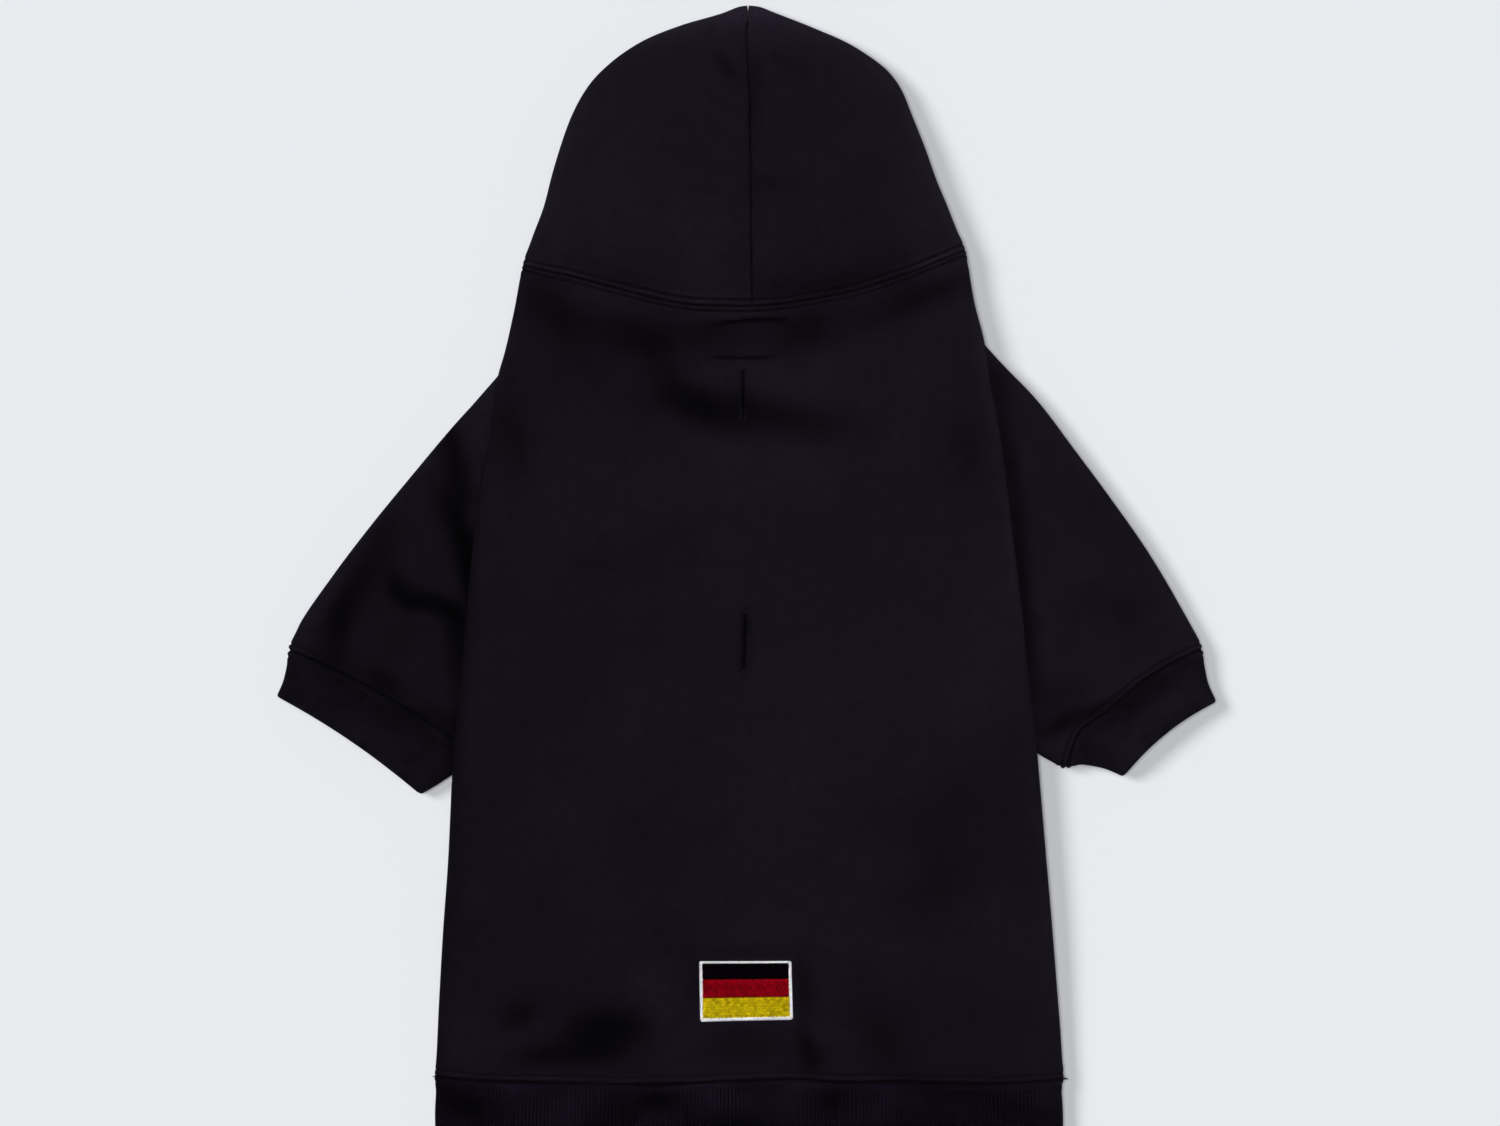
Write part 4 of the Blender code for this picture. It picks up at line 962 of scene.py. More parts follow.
def cloth_material(name, dark, light, knit_u, knit_v, knit_depth, fuzz, roughness, specular, sheen, grain=1.0):
    """Black knit: loops at the knit's own scale along the cloth, a brushed nap over them, soft cloudy variation
    of the dye and stray paler fibres, with painted shade from the fold attribute in the folds, seams and grooves and
    painted highlight where that attribute is below 0."""
    material, tree, shader = shader_of(name)
    link = tree.links.new
    shader.inputs["Roughness"].default_value = roughness
    shader.inputs["Specular IOR Level"].default_value = specular
    shader.inputs["Sheen Weight"].default_value = sheen
    shader.inputs["Sheen Roughness"].default_value = 0.55
    shader.inputs["Sheen Tint"].default_value = (0.72, 0.66, 0.86, 1)
    coords = tree.nodes.new("ShaderNodeTexCoord").outputs["Object"]
    uv = tree.nodes.new("ShaderNodeUVMap")
    uv.uv_map = "cloth"
    split = tree.nodes.new("ShaderNodeSeparateXYZ")
    link(uv.outputs[0], split.inputs[0])
    u, v = split.outputs[0], split.outputs[1]
    # Loops of the knit: upright columns of slanting strokes, like rows of small Vs
    wobble = maths(tree, "MULTIPLY", noise(tree, coords, 260.0, 1.0), 0.5)
    column = maths(tree, "ADD", maths(tree, "MULTIPLY", u, 1 / knit_u), wobble)
    within = maths(tree, "ABSOLUTE", maths(tree, "SUBTRACT", maths(tree, "FRACT", column), 0.5))
    slant = maths(tree, "ADD", maths(tree, "MULTIPLY", v, 1 / knit_v), maths(tree, "MULTIPLY", within, 1.1))
    stroke = maths(tree, "SINE", maths(tree, "MULTIPLY", slant, math.tau))
    rounded = maths(tree, "SINE", maths(tree, "MULTIPLY", within, math.tau))
    loops = maths(tree, "MULTIPLY", maths(tree, "MULTIPLY_ADD", stroke, 0.25, 0.75), rounded)
    nap = noise(tree, coords, 1500.0, 3.0, 0.65)
    clumps = noise(tree, coords, 420.0, 2.0, 0.6)
    height = maths(tree, "ADD", maths(tree, "MULTIPLY", loops, knit_depth), maths(tree, "MULTIPLY", nap, fuzz))
    height = maths(tree, "ADD", height, maths(tree, "MULTIPLY", clumps, fuzz * 0.9))
    raised = tree.nodes.new("ShaderNodeBump")
    raised.inputs["Strength"].default_value = 1.0
    raised.inputs["Distance"].default_value = 0.001 * grain
    link(height, raised.inputs["Height"])
    link(raised.outputs[0], shader.inputs["Normal"])
    # Colour
    cloud = maths(tree, "ADD", maths(tree, "MULTIPLY", noise(tree, coords, 14.0, 3.0, 0.6), 0.40), maths(tree, "MULTIPLY", nap, 0.34))
    cloud = maths(tree, "ADD", cloud, maths(tree, "MULTIPLY", noise(tree, coords, 190.0, 2.0, 0.5), 0.26))
    colour = ramp(tree, cloud, 0.36, 0.64, dark, light)
    fibre = noise(tree, coords, 900.0, 4.0, 0.75, (1.0, 0.25, 1.0))
    stray = maths(tree, "MULTIPLY", maths(tree, "SUBTRACT", fibre, 0.70), 9.0, clamp=True)
    mix = tree.nodes.new("ShaderNodeMix")
    mix.data_type = "RGBA"
    mix.inputs[7].default_value = (*[min(1.0, c * 2.6 + 0.004) for c in light], 1)
    link(colour, mix.inputs[6])
    link(maths(tree, "MULTIPLY", stray, 0.8), mix.inputs[0])
    # Painted shade, and painted highlight below 0, from the fold attribute scales the colour
    fold = tree.nodes.new("ShaderNodeAttribute")
    fold.attribute_name = "fold"
    share = maths(tree, "MULTIPLY_ADD", fold.outputs["Fac"], -0.93, 1.0)
    scaled = tree.nodes.new("ShaderNodeVectorMath")
    scaled.operation = "SCALE"
    link(mix.outputs[2], scaled.inputs[0])
    link(share, scaled.inputs["Scale"])
    link(scaled.outputs[0], shader.inputs["Base Color"])
    return material


def thread_material(name, dark, light, roughness, specular, sheen, scale=2600.0):
    """Embroidery or sewing thread: fine twist along each strand and small differences between strands."""
    material, tree, shader = shader_of(name)
    shader.inputs["Roughness"].default_value = roughness
    shader.inputs["Specular IOR Level"].default_value = specular
    shader.inputs["Sheen Weight"].default_value = sheen
    coords = tree.nodes.new("ShaderNodeTexCoord").outputs["Object"]
    twist = noise(tree, coords, scale, 2.0, 0.6)
    strands = noise(tree, coords, scale * 0.22, 2.0, 0.6)
    both = maths(tree, "ADD", maths(tree, "MULTIPLY", twist, 0.5), maths(tree, "MULTIPLY", strands, 0.5))
    # Darker by the fold attribute: a random amount for each embroidery strand, and painted shade on the ground under
    # the strands
    fold = tree.nodes.new("ShaderNodeAttribute")
    fold.attribute_name = "fold"
    scaled = tree.nodes.new("ShaderNodeVectorMath")
    scaled.operation = "SCALE"
    tree.links.new(ramp(tree, both, 0.36, 0.64, dark, light), scaled.inputs[0])
    tree.links.new(maths(tree, "MULTIPLY_ADD", fold.outputs["Fac"], -0.9, 1.0), scaled.inputs["Scale"])
    tree.links.new(scaled.outputs[0], shader.inputs["Base Color"])
    raised = tree.nodes.new("ShaderNodeBump")
    raised.inputs["Strength"].default_value = 0.5
    raised.inputs["Distance"].default_value = 0.00012
    tree.links.new(twist, raised.inputs["Height"])
    tree.links.new(raised.outputs[0], shader.inputs["Normal"])
    return material


fleece = cloth_material(
    "fleece", (0.0048, 0.0034, 0.0068), (0.0106, 0.0082, 0.0138), 0.0013, 0.0011, 0.07, 0.30, 0.98, 0.025, 0.01
)
rib = cloth_material(
    "rib_knit", (0.0038, 0.0027, 0.0057), (0.0096, 0.0075, 0.0129), 0.0009, 0.0010, 0.12, 0.22, 0.98, 0.025, 0.01
)
# The hem band's rib is a darker copy of the cuffs' rib: painted shade
rib_band_shaded = cloth_material(
    "rib_knit_band_shaded", (0.0029, 0.0017, 0.0047), (0.0074, 0.0050, 0.0104), 0.0009, 0.0010, 0.12, 0.22, 0.98, 0.025, 0.01
)
sewing = thread_material("sewing_thread", (0.0036, 0.0028, 0.0050), (0.0082, 0.0066, 0.0110), 0.9, 0.04, 0.0)
white = thread_material("white_thread", (0.74, 0.732, 0.758), (0.95, 0.945, 0.965), 0.75, 0.15, 0.05)
black = thread_material("black_thread", (0.0010, 0.0004, 0.0012), (0.0040, 0.0018, 0.0044), 0.95, 0.004, 0.0)
red = thread_material("red_thread", (0.205, 0.0005, 0.0048), (0.470, 0.0020, 0.0124), 0.85, 0.02, 0.0)
gold = thread_material("gold_thread", (0.50, 0.365, 0.0026), (0.92, 0.74, 0.0084), 0.85, 0.02, 0.0)


def place(piece, slot, *nodes):
    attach(piece, "root")
    if nodes:
        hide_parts(*nodes)
    return piece


threads = []  # sewing threads on the fleece and rib, joined into one piece at the end


def sew(points, ups, length=0.0024, pitch=0.0029, radius=0.00021, **more):
    threads.append(stitch_line(points, ups, length, pitch, radius, **more))


# ---------------------------------------------------------------- back panel

LABEL_UPPER = np.array([(715, 325.0), (728, 323.0), (742, 321.4), (758, 320.2), (772, 320.3), (785, 321.4)])
LABEL_LOWER = np.array([(711, 357.5), (727, 358.2), (743, 358.6), (760, 358.4), (775, 357.6)])
SLIT_LEFT, SLIT_RIGHT = -0.0040, -0.0010


def slit_lines(c):
    """x of the two sides of the line that carries both leash holes."""
    x = np.interp(c, [300, 370, 396, 420, 614, 640, 669, 760], [743, 742.6, 743, 742.8, 744.8, 744.6, 743.6, 744])
    gap = np.full(np.shape(c), 0.25)
    for slit in SLITS:
        low, high = slit.stations[0], slit.stations[-1]
        gap = np.where((c >= low) & (c <= high), slit("gap", c), gap)
    return x - gap / 2, x + gap / 2


def back_columns():
    half = np.concatenate([np.linspace(0, 1, 60), steps((1, 1.9, 9), (1.9, 2, 5))[1:], steps((2, 2.1, 3), (2.1, 2.9, 6), (2.9, 3, 4))[1:]])
    both = np.concatenate([-half[::-1], half[1:]])
    near = np.array([0.0008, 0.0022, 0.0042, 0.0070, 0.0105])
    slit = np.concatenate([SLIT_LEFT - near, [SLIT_LEFT, SLIT_RIGHT], SLIT_RIGHT + near])
    both = both[(both < slit.min() - 0.004) | (both > slit.max() + 0.004)]
    return np.sort(np.concatenate([both, slit]))


def warped(c, p, hood=False):
    """Columns near the middle lean so that two of them follow the leash holes."""
    left_x, right_x = slit_lines(c)
    centre = TORSO("centre", c)
    side = TORSO("left_x", c)
    length = np.hypot(side - centre, TORSO("left_y", c) - c) * UNIT
    fold = np.minimum(1.3 * fold_width(TORSO("mid", c), TORSO("edge", c)) / length, 0.6)
    scale = (1 - fold) * (centre - side)
    left_p, right_p = (left_x - centre) / scale, (right_x - centre) / scale
    out = np.empty(np.shape(p))
    for r in range(out.shape[0]):
        out[r] = np.interp(
            p[r], [-5, -0.3, SLIT_LEFT, SLIT_RIGHT, 0.3, 5], [-5, -0.3, left_p[r, 0], right_p[r, 0], 0.3, 5]
        )
    return out


left_open = station_at("left_y", 377.0), station_at("left_y", 781.0)
right_open = station_at("right_y", 349.0), station_at("right_y", 760.0)


def back_rows():
    rows = between(NECK + 0.12, HEM - 0.12, UNIT, 0.0023, SEAM_ROWS, SEAM_ROWS)
    for low, high, step in ((317, 330, 1.1), (354, 362, 1.1), (366, 425, 2.6), (609, 675, 2.6)):
        rows = np.concatenate([rows[(rows < low - 0.6) | (rows > high + 0.6)], np.arange(low, high, step)])
    exact = [*left_open, *right_open]
    for slit in SLITS:
        for end in (slit.stations[0], slit.stations[-1]):
            exact += [end, end - 0.25, end + 0.25, end - 0.8, end + 0.8, end - 1.7, end + 1.7]
    exact = np.array(exact)
    rows = rows[np.min(np.abs(rows[:, None] - exact[None]), axis=1) > 0.5]
    return np.sort(np.concatenate([rows, exact]))


def polyline_distance(x, y, line):
    return line_distance(x, y, line[:, 0], line[:, 1]) * UNIT


rows, columns = back_rows(), back_columns()
grid_c, grid_p = np.meshgrid(rows, columns, indexing="ij")
grid_p = warped(grid_c, grid_p)
grid_c = np.array(grid_c)
at_sides = sides(grid_p, (-2, 2), 0.6)
grid_c[0] += (NECK + 0.01 - rows[0]) * at_sides[0]
grid_c[-1] += (HEM - 0.01 - rows[-1]) * at_sides[-1]
middle, places = (rows[:-1] + rows[1:]) / 2, (columns[:-1] + columns[1:]) / 2
keep = np.ones((len(rows) - 1, len(columns) - 1), bool)
keep[np.ix_((middle > left_open[0]) & (middle < left_open[1]), places < -2)] = False
keep[np.ix_((middle > right_open[0]) & (middle < right_open[1]), places > 2)] = False
for slit in SLITS:
    inside_rows = (middle > slit.stations[0]) & (middle < slit.stations[-1])
    keep[np.ix_(inside_rows, (places > SLIT_LEFT) & (places < SLIT_RIGHT))] = False
surface = torso(grid_c, grid_p, False)
surface[..., 1] += hem_sag(to_table(surface)[0], grid_c, grid_p) + neck_sag(to_table(surface)[0], grid_c, grid_p)
flat = np.abs(grid_p) >= 3 - 1e-9
surface[..., 2] = np.where(flat, 0.0, surface[..., 2])
x, y = to_table(surface)
edge = free_edges(surface, keep, False)
down = lengths(surface, 0)
from_neck, from_hem = down, down[-1:] - down
on_top = np.clip((2.2 - np.abs(grid_p)) / 0.4, 0, 1)
relief = seam_relief(from_neck, x, y, 21, DEEP_GAUGE, 0.85) + seam_relief(from_hem, x, y, 22, GAUGE, 0.5)
upper, lower = polyline_distance(x, y, LABEL_UPPER), polyline_distance(x, y, LABEL_LOWER)
relief = relief - MM * (1.25 * bump(upper, 0.0010) - 0.32 * bump(upper - 0.0027, 0.0014))
relief = relief - MM * (0.62 * bump(lower, 0.00065) - 0.14 * bump(lower - 0.0019, 0.0010))
lips, near_hole = np.zeros(x.shape), np.zeros(x.shape)
for slit in SLITS:
    middle_x = slit("x", y)
    side = np.maximum(np.abs(x - middle_x) - slit("gap", y) / 2, 0) * UNIT
    past = np.maximum(np.maximum(slit.stations[0] - y, y - slit.stations[-1]), 0) * UNIT
    reach = np.hypot(side, past)
    lips = lips + 0.30 * bump(reach - 0.0013, 0.0008) - 0.20 * bump(reach - 0.0030, 0.0009)
    near_hole = np.maximum(near_hole, bump(reach, 0.0030))
relief = relief + lips * MM
armhole = np.zeros(x.shape)
for sign, (low, high) in ((-1, left_open), (1, right_open)):
    c0 = np.argmin(np.abs(columns - 2 * sign))
    run = lengths(surface, 1)
    distance = np.abs(run - run[:, [c0]])
    open_rows = ((grid_c > low) & (grid_c < high)) * (np.sign(grid_p) == sign)
    armhole = armhole - open_rows * 0.30 * bump(distance - 0.0062, 0.0006)
relief = (relief + armhole * MM) * on_top
# Painted shade in the folds, with painted highlight where a fold's shade is below 0
shade = folds_at("back", x, y)[1] * on_top
# Painted shade along the two sewn lines, in the seam ditches and rows of stitches and round the leash holes, with
# painted highlight on the seam ridges
upper_shade = np.interp(x, [712, 722, 742, 772, 790], [0.0, 0.80, 0.98, 0.98, 0.0]) * bump(upper, 0.00105)
lower_shade = np.interp(x, [708, 716, 728, 764, 780], [0.0, 0.75, 0.95, 0.85, 0.0]) * bump(lower, 0.00070)
tight = 1 - 0.6 * near_hole
middle_part = np.maximum(0.72, bump(x - 740, 110))
row_shade = seam_shade(edge / tight, from_neck, DEEP_GAUGE, 0.85, 0.24)
dark = (row_shade * middle_part + seam_shade(edge / tight) * (1 - middle_part)) * on_top + seam_shade(edge) * (1 - on_top)
by_hem = seam_shade(edge, from_hem, GAUGE, 0.55, 0.0) * on_top
by_hem = by_hem - 0.85 * bump(from_hem - 0.0019, 0.0007) * on_top
dark = np.where(from_hem < 0.008, by_hem, dark)
dark = np.maximum(dark, np.maximum(upper_shade, lower_shade))
dark = np.maximum(dark, 0.45 * near_hole * np.clip((y - 371) / 20, 0, 1))
# Painted shade along the left side, and a thin painted highlight along the right side's fold
from_side = line_distance(x, y, OUTLINE_X, OUTLINE_Y) * UNIT
left_side_shade = (grid_p < 0) * np.clip((y - 380) / 160, 0, 1) * bump(from_side, 0.0060) * 0.38
right_side_highlight = (grid_p > 0) * np.clip((y - 300) / 40, 0, 1) * np.clip((700 - y) / 240, 0, 1) * bump(from_side - 0.001, 0.0034) * 0.60
shade = 1 - (1 - shade) * (1 - left_side_shade * on_top)
painted_shading = 1 - (1 - shade) * (1 - dark) * (1 + right_side_highlight * on_top)
normal = -grid_normals(surface, False)
normal[flat] = (0.0, 0.0, -1.0)
seam_ends = sides(grid_p, (-2, 2), 0.34) * np.maximum(bump(from_neck, 0.004), bump(from_hem, 0.004))
back, outer, normal = cloth(
    "back_cloth", surface, relief, edge, FLEECE, fleece, keep, normal=normal, fold=painted_shading,
    least=0.06 + 0.90 * seam_ends, tight=tight,
)
place(back, "fleece", "back_panel")

on_back = np.nonzero(np.abs(grid_p[len(rows) // 2]) < 1.75)[0]
sew(*along_columns(outer, normal, from_neck, DEEP_GAUGE, on_back), start=0.0011, lift=-0.00016)
sew(*along_columns(outer, normal, from_hem, GAUGE, on_back), start=0.0011)

# Sewn lines through the back, above the first leash hole
def on_cloth(outer, points_x, points_y):
    """Points and normals of the back's cloth at table positions."""
    gx, gy = to_table(outer)
    places, ups = [], []
    for px, py in zip(points_x, points_y):
        r, c = np.unravel_index(np.argmin((gx - px) ** 2 + (gy - py) ** 2), gx.shape)
        up = normal[r, c]
        dx, dy = (px - gx[r, c]) * UNIT, -(py - gy[r, c]) * UNIT
        z = outer[r, c, 2] - (up[0] * dx + up[1] * dy) / up[2]
        places.append((outer[r, c, 0] + dx, outer[r, c, 1] + dy, z))
        ups.append(up)
    return np.array(places), np.array(ups)


for line, deep in ((LABEL_UPPER, -0.0004), (LABEL_LOWER, -0.0003)):
    run = np.linspace(0, 1, 40)
    knots = np.linspace(0, 1, len(line))
    lx, ly = np.interp(run, knots, line[:, 0]), np.interp(run, knots, line[:, 1])
    sew(*on_cloth(outer, lx, ly), lift=deep)

# Buttonhole threads round the leash holes
for slit in SLITS:
    low, high = slit.stations[0], slit.stations[-1]
    for sign in (-1, 1):
        places_y = np.arange(low + 0.6, high - 0.3, 0.95)
        start_x = slit("x", places_y) + sign * (slit("gap", places_y) / 2 + 0.35)
        strands = []
        for reach in (0.0, 0.9, 1.9, 2.9, 3.9):
            points, ups = on_cloth(outer, start_x + sign * reach, places_y + 0.12 * reach)
            strands.append((points, ups))
        paths = np.stack([p for p, _ in strands], 1)
        ups = np.stack([u for _, u in strands], 1)
        paths[..., 2] += np.array([-0.00034, -0.00006, 0.00002, -0.00004, -0.00030])[None]
        threads.append(tubes(paths, ups, 0.00020, (0.7, 1, 1, 1, 0.6)))
    for end in (low, high):
        bar_x = np.linspace(-4.6, 4.6, 7) + slit("x", np.array([end]))
        for shift in (-1.3, -0.5, 0.3, 1.1):
            points, ups = on_cloth(outer, bar_x, np.full(7, end + shift * 0.9 + (0.6 if end == high else -0.6)))
            points[:, 2] += np.array([-0.0003, 0.0001, 0.0002, 0.00024, 0.0002, 0.0001, -0.0003])
            threads.append(tubes(points[None], ups[None], 0.00024, (0.6, 1, 1, 1, 1, 1, 0.6)))

# ---------------------------------------------------------------- belly panel

belly_rows = between(NECK + 0.12, HEM - 0.12, UNIT, 0.0034, EDGE_ROWS, SEAM_ROWS[::2])
belly_rows = np.sort(np.unique(np.concatenate([belly_rows, [*left_open, *right_open]])))
near = np.array([0.0, 0.0008, 0.0020, 0.0038, 0.0065, 0.010, 0.015, 0.022])
share = np.concatenate([-1 + near, np.linspace(-0.965, 0.965, 64), 1 - near[::-1]])
grid_c, grid_s = np.meshgrid(belly_rows, share, indexing="ij")
surface = torso(grid_c, np.where(grid_s < 0, -1, 1) * (4 - np.abs(grid_s)), False)
surface[..., 0] -= 0.00015 * grid_s
surface[..., 1] -= 0.0018 * np.clip(1 - (grid_c - NECK) / 8, 0, 1)
surface[..., 2] = 0.0
keep = np.ones((len(belly_rows) - 1, len(share) - 1), bool)
edge = free_edges(surface, keep, False)
x, y = to_table(surface)
down_up = np.broadcast_to(np.array([0.0, 0.0, -1.0]), surface.shape)
dip = np.clip(waves(x, y, 31, 30, 120), 0, 3) * 0.28 * np.clip(edge / 0.012, 0, 1)
groove = 0.5 * bump(edge - GAUGE, 0.0004)
# Painted shade along the belly's edges
belly, belly_outer, belly_normal = cloth(
    "belly_cloth", surface, -(dip + groove) * MM, edge, FLEECE, fleece, keep, normal=down_up.copy(),
    fold=seam_shade(edge), flip=True,
)
place(belly, "fleece", "belly_panel")

# ---------------------------------------------------------------- hood

HOOD_GAUGE = 0.0030

crown_rows = np.array([0.0, 0.25, 0.6, 1.1, 1.8, 2.8, 4.1, 5.8, 8.0, 10.6, 13.6, 17.0, 20.8]) + CROWN
main_rows = between(CROWN + 24.6, NECK - 0.12, UNIT, 0.0020, None, SEAM_ROWS)
hood_rows = np.concatenate([crown_rows, main_rows])
seam_columns = np.array([0.0, 0.0006, 0.0016, 0.0032, 0.0055, 0.0085, 0.0125, 0.018, 0.025, 0.034])
hood_half = np.concatenate(
    [
        -4 + np.array([0.0, 0.002, 0.006, 0.014, 0.026, 0.042, 0.062, 0.09, 0.13, 0.18, 0.23, 0.26, 0.285, 0.31, 0.335, 0.36]),
        np.linspace(-3.59, -3.05, 11),
        steps((-3, -2.9, 2), (-2.9, -2.1, 7), (-2.1, -2, 2))[:-1],
        steps((-2, -1.9, 3), (-1.9, -1, 10))[:-1],
        np.linspace(-1, -0.050, 54),
        -seam_columns[::-1],
    ]
)
grid_c, grid_p = np.meshgrid(hood_rows, hood_half, indexing="ij")
for side, sign in (("left", 1), ("right", -1)):
    p = grid_p if sign > 0 else -grid_p[:, ::-1]
    at = np.where(p == 0, -1e-9 * sign, p)
    grid_c = np.repeat(hood_rows[:, None], p.shape[1], axis=1)
    grid_c[-1] += (NECK - 0.01 - hood_rows[-1]) * sides(p[-1], (-2, 2), 0.6)
    surface = torso(grid_c, at, True)
    # The centre seam wanders a little near the crown
    wander = np.interp(grid_c, [9, 18, 30, 42, 60, 80, 98, 125], [0.2, 0.5, -2.3, -2.4, -1.4, -0.4, 0.7, 0.0])
    surface[..., 0] += wander * UNIT * bump(p, 0.16) * np.clip((grid_c - CROWN) / 8, 0, 1)
    surface[..., 0] -= 0.00006 * sign
    surface[..., 1] += neck_sag(to_table(surface)[0], grid_c, p)
    flat = np.abs(p) >= 3
    surface[..., 2] = np.where(flat, 0.0, surface[..., 2])
    keep = np.ones((len(hood_rows) - 1, len(hood_half) - 1), bool)
    edge = free_edges(surface, keep, False)
    x, y = to_table(surface)
    down = lengths(surface, 0)
    from_neck = down[-1:] - down
    run = lengths(surface, 1)
    face_column, seam_column = (0, -1) if sign > 0 else (-1, 0)
    from_face = np.abs(run - run[:, [face_column]])
    from_centre = np.abs(run - run[:, [seam_column]])
    normal = -grid_normals(surface, False)
    # Both halves share the centre seam's upright plane
    normal[..., 0] *= np.where(np.abs(p) < 1e-9, 0.0, np.clip((grid_c - CROWN) / 20, 0, 1))
    normal /= np.linalg.norm(normal, axis=-1, keepdims=True)
    normal[flat] = (0.0, 0.0, -1.0)
    # Round the crown the rows run together, so that the wall is built outwards from a line inside the hood
    axis = world(748.3 + 0.0 * grid_c, grid_c + 30, 9.0)
    outwards = surface - axis
    outwards /= np.linalg.norm(outwards, axis=-1, keepdims=True)
    near_crown = np.clip(1 - (grid_c - CROWN - 12) / 34, 0, 1)[..., None]
    normal = normal * (1 - near_crown) + outwards * near_crown
    normal /= np.linalg.norm(normal, axis=-1, keepdims=True)
    thin = 0.5 + 0.5 * np.clip((grid_c - CROWN) / 40, 0, 1)
    on_top = np.clip((2.2 - np.abs(p)) / 0.4, 0, 1)
    relief = seam_relief(from_neck, x, y, 21, HOOD_GAUGE, 0.52) * on_top
    seam_pucker = waves(x, y, 25, 10, 26) * 0.10 * bump(from_centre - 0.0030, 0.0028)
    relief = relief + MM * (0.14 * bump(from_centre - 0.0022, 0.0014) + seam_pucker) * on_top * thin
    relief = relief - MM * 0.5 * bump(from_face - 0.0150, 0.00045) * (1 - on_top)
    # Painted shade in the seam ditch, the row of stitches and the folds; painted highlight on the seam ridge and,
    # through rim, along the hood's outline
    dark = seam_shade(edge, from_neck, HOOD_GAUGE, 0.70, 0.30) * on_top + seam_shade(edge) * (1 - on_top)
    rim = 0.28 * bump(line_distance(x, y, OUTLINE_X, OUTLINE_Y) * UNIT, 0.0050) * on_top
    painted_shading = 1 - (1 - folds_at("hood", x, y)[1] * on_top) * (1 - dark) * (1 + rim)
    piece, outer, normal = cloth(
        f"hood_{side}_cloth", surface, relief, edge, FLEECE * thin, fleece, keep, normal=normal, fold=painted_shading,
        least=0.06 + 0.90 * sides(p, (-2, 2), 0.34) * bump(from_neck, 0.004) + 0.6 * bump(grid_c - CROWN, 6),
    )
    place(piece, "fleece", f"hood_{side}")
    on_hood = np.nonzero(np.abs(p[-1]) < 1.75)[0]
    sew(*along_columns(outer, normal, from_neck, HOOD_GAUGE, on_hood), start=0.0011, lift=-0.0001)
    # Hem of the face opening, underneath
    hem_at = [np.argmin(np.abs(from_face[r] - 0.0150)) for r in range(12, len(hood_rows) - 8)]
    picked = np.arange(12, len(hood_rows) - 8)
    sew(outer[picked, hem_at], normal[picked, hem_at])

# ---------------------------------------------------------------- tapes inside the seams


def tape(name, surface, normal, thickness=0.0008, below=FLEECE + 0.00035):
    """A flat tape under a seam, just inside the cloth, its colour darkened by a painted shade."""
    surface = surface - below * normal
    edge = np.minimum(lengths(surface, 0), lengths(surface, 0)[-1:] - lengths(surface, 0))
    piece, _, _ = cloth(name, surface, 0.0 * edge, edge, thickness, fleece, normal=normal, fold=0.4 + 0.0 * edge)
    place(piece, "fleece")


grid_c, grid_p = np.meshgrid(np.linspace(NECK - 13, NECK + 13, 15), np.linspace(-1.95, 1.95, 140), indexing="ij")
surface = torso(grid_c, grid_p, False)
surface[..., 1] += neck_sag(to_table(surface)[0], grid_c, grid_p)
tape("neck_tape", surface, -grid_normals(surface, False))
grid_c, grid_p = np.meshgrid(np.linspace(HEM - 13, HEM + 13, 15), np.linspace(-1.95, 1.95, 150), indexing="ij")
surface = torso(grid_c, grid_p, False)
surface[..., 1] += hem_sag(to_table(surface)[0], grid_c, grid_p)
tape("hem_tape", surface, -grid_normals(surface, False), below=RIB + 0.0004)
grid_c, share = np.meshgrid(np.linspace(CROWN + 5, NECK - 6, 124), np.linspace(-1, 1, 9), indexing="ij")
reach = np.minimum(0.8, 11 / (TORSO("centre", grid_c) - TORSO("left_x", grid_c)))
surface = torso(grid_c, share * reach, True)
normal = -grid_normals(surface, False)
outwards = surface - world(748.3 + 0.0 * grid_c, grid_c + 30, 9.0)
outwards /= np.linalg.norm(outwards, axis=-1, keepdims=True)
near_crown = np.clip(1 - (grid_c - CROWN - 12) / 34, 0, 1)[..., None]
normal = normal * (1 - near_crown) + outwards * near_crown
normal /= np.linalg.norm(normal, axis=-1, keepdims=True)
lower = FLEECE + 0.00035 + 0.0016 * np.clip((grid_c - NECK + 30) / 14, 0, 1)
tape("hood_tape", surface, normal, below=lower[..., None])

# ---------------------------------------------------------------- rib pieces


def wale_columns(point, low, high, pitch, each):
    """Places round a ring, with equal wales between low and high, and the phase of each place in its wale."""
    fine = np.linspace(low, high, 3000)
    run = lengths(point(fine)[None], 1)[0]
    wales = max(1, int(round(run[-1] / pitch)))
    count = wales * each
    where = np.arange(count) / count * run[-1]
    return np.interp(where, run, fine), (np.arange(count) % each) / each


def rib_relief(phase, amount):
    """Rounded wales with narrow grooves between them, cut into the face."""
    return -amount * (1 - np.abs(np.sin(math.pi * phase)) ** 0.8)


WALE = 0.00180


def hem_line(p):
    return torso(np.full(np.shape(p), 1118.0), p, False)


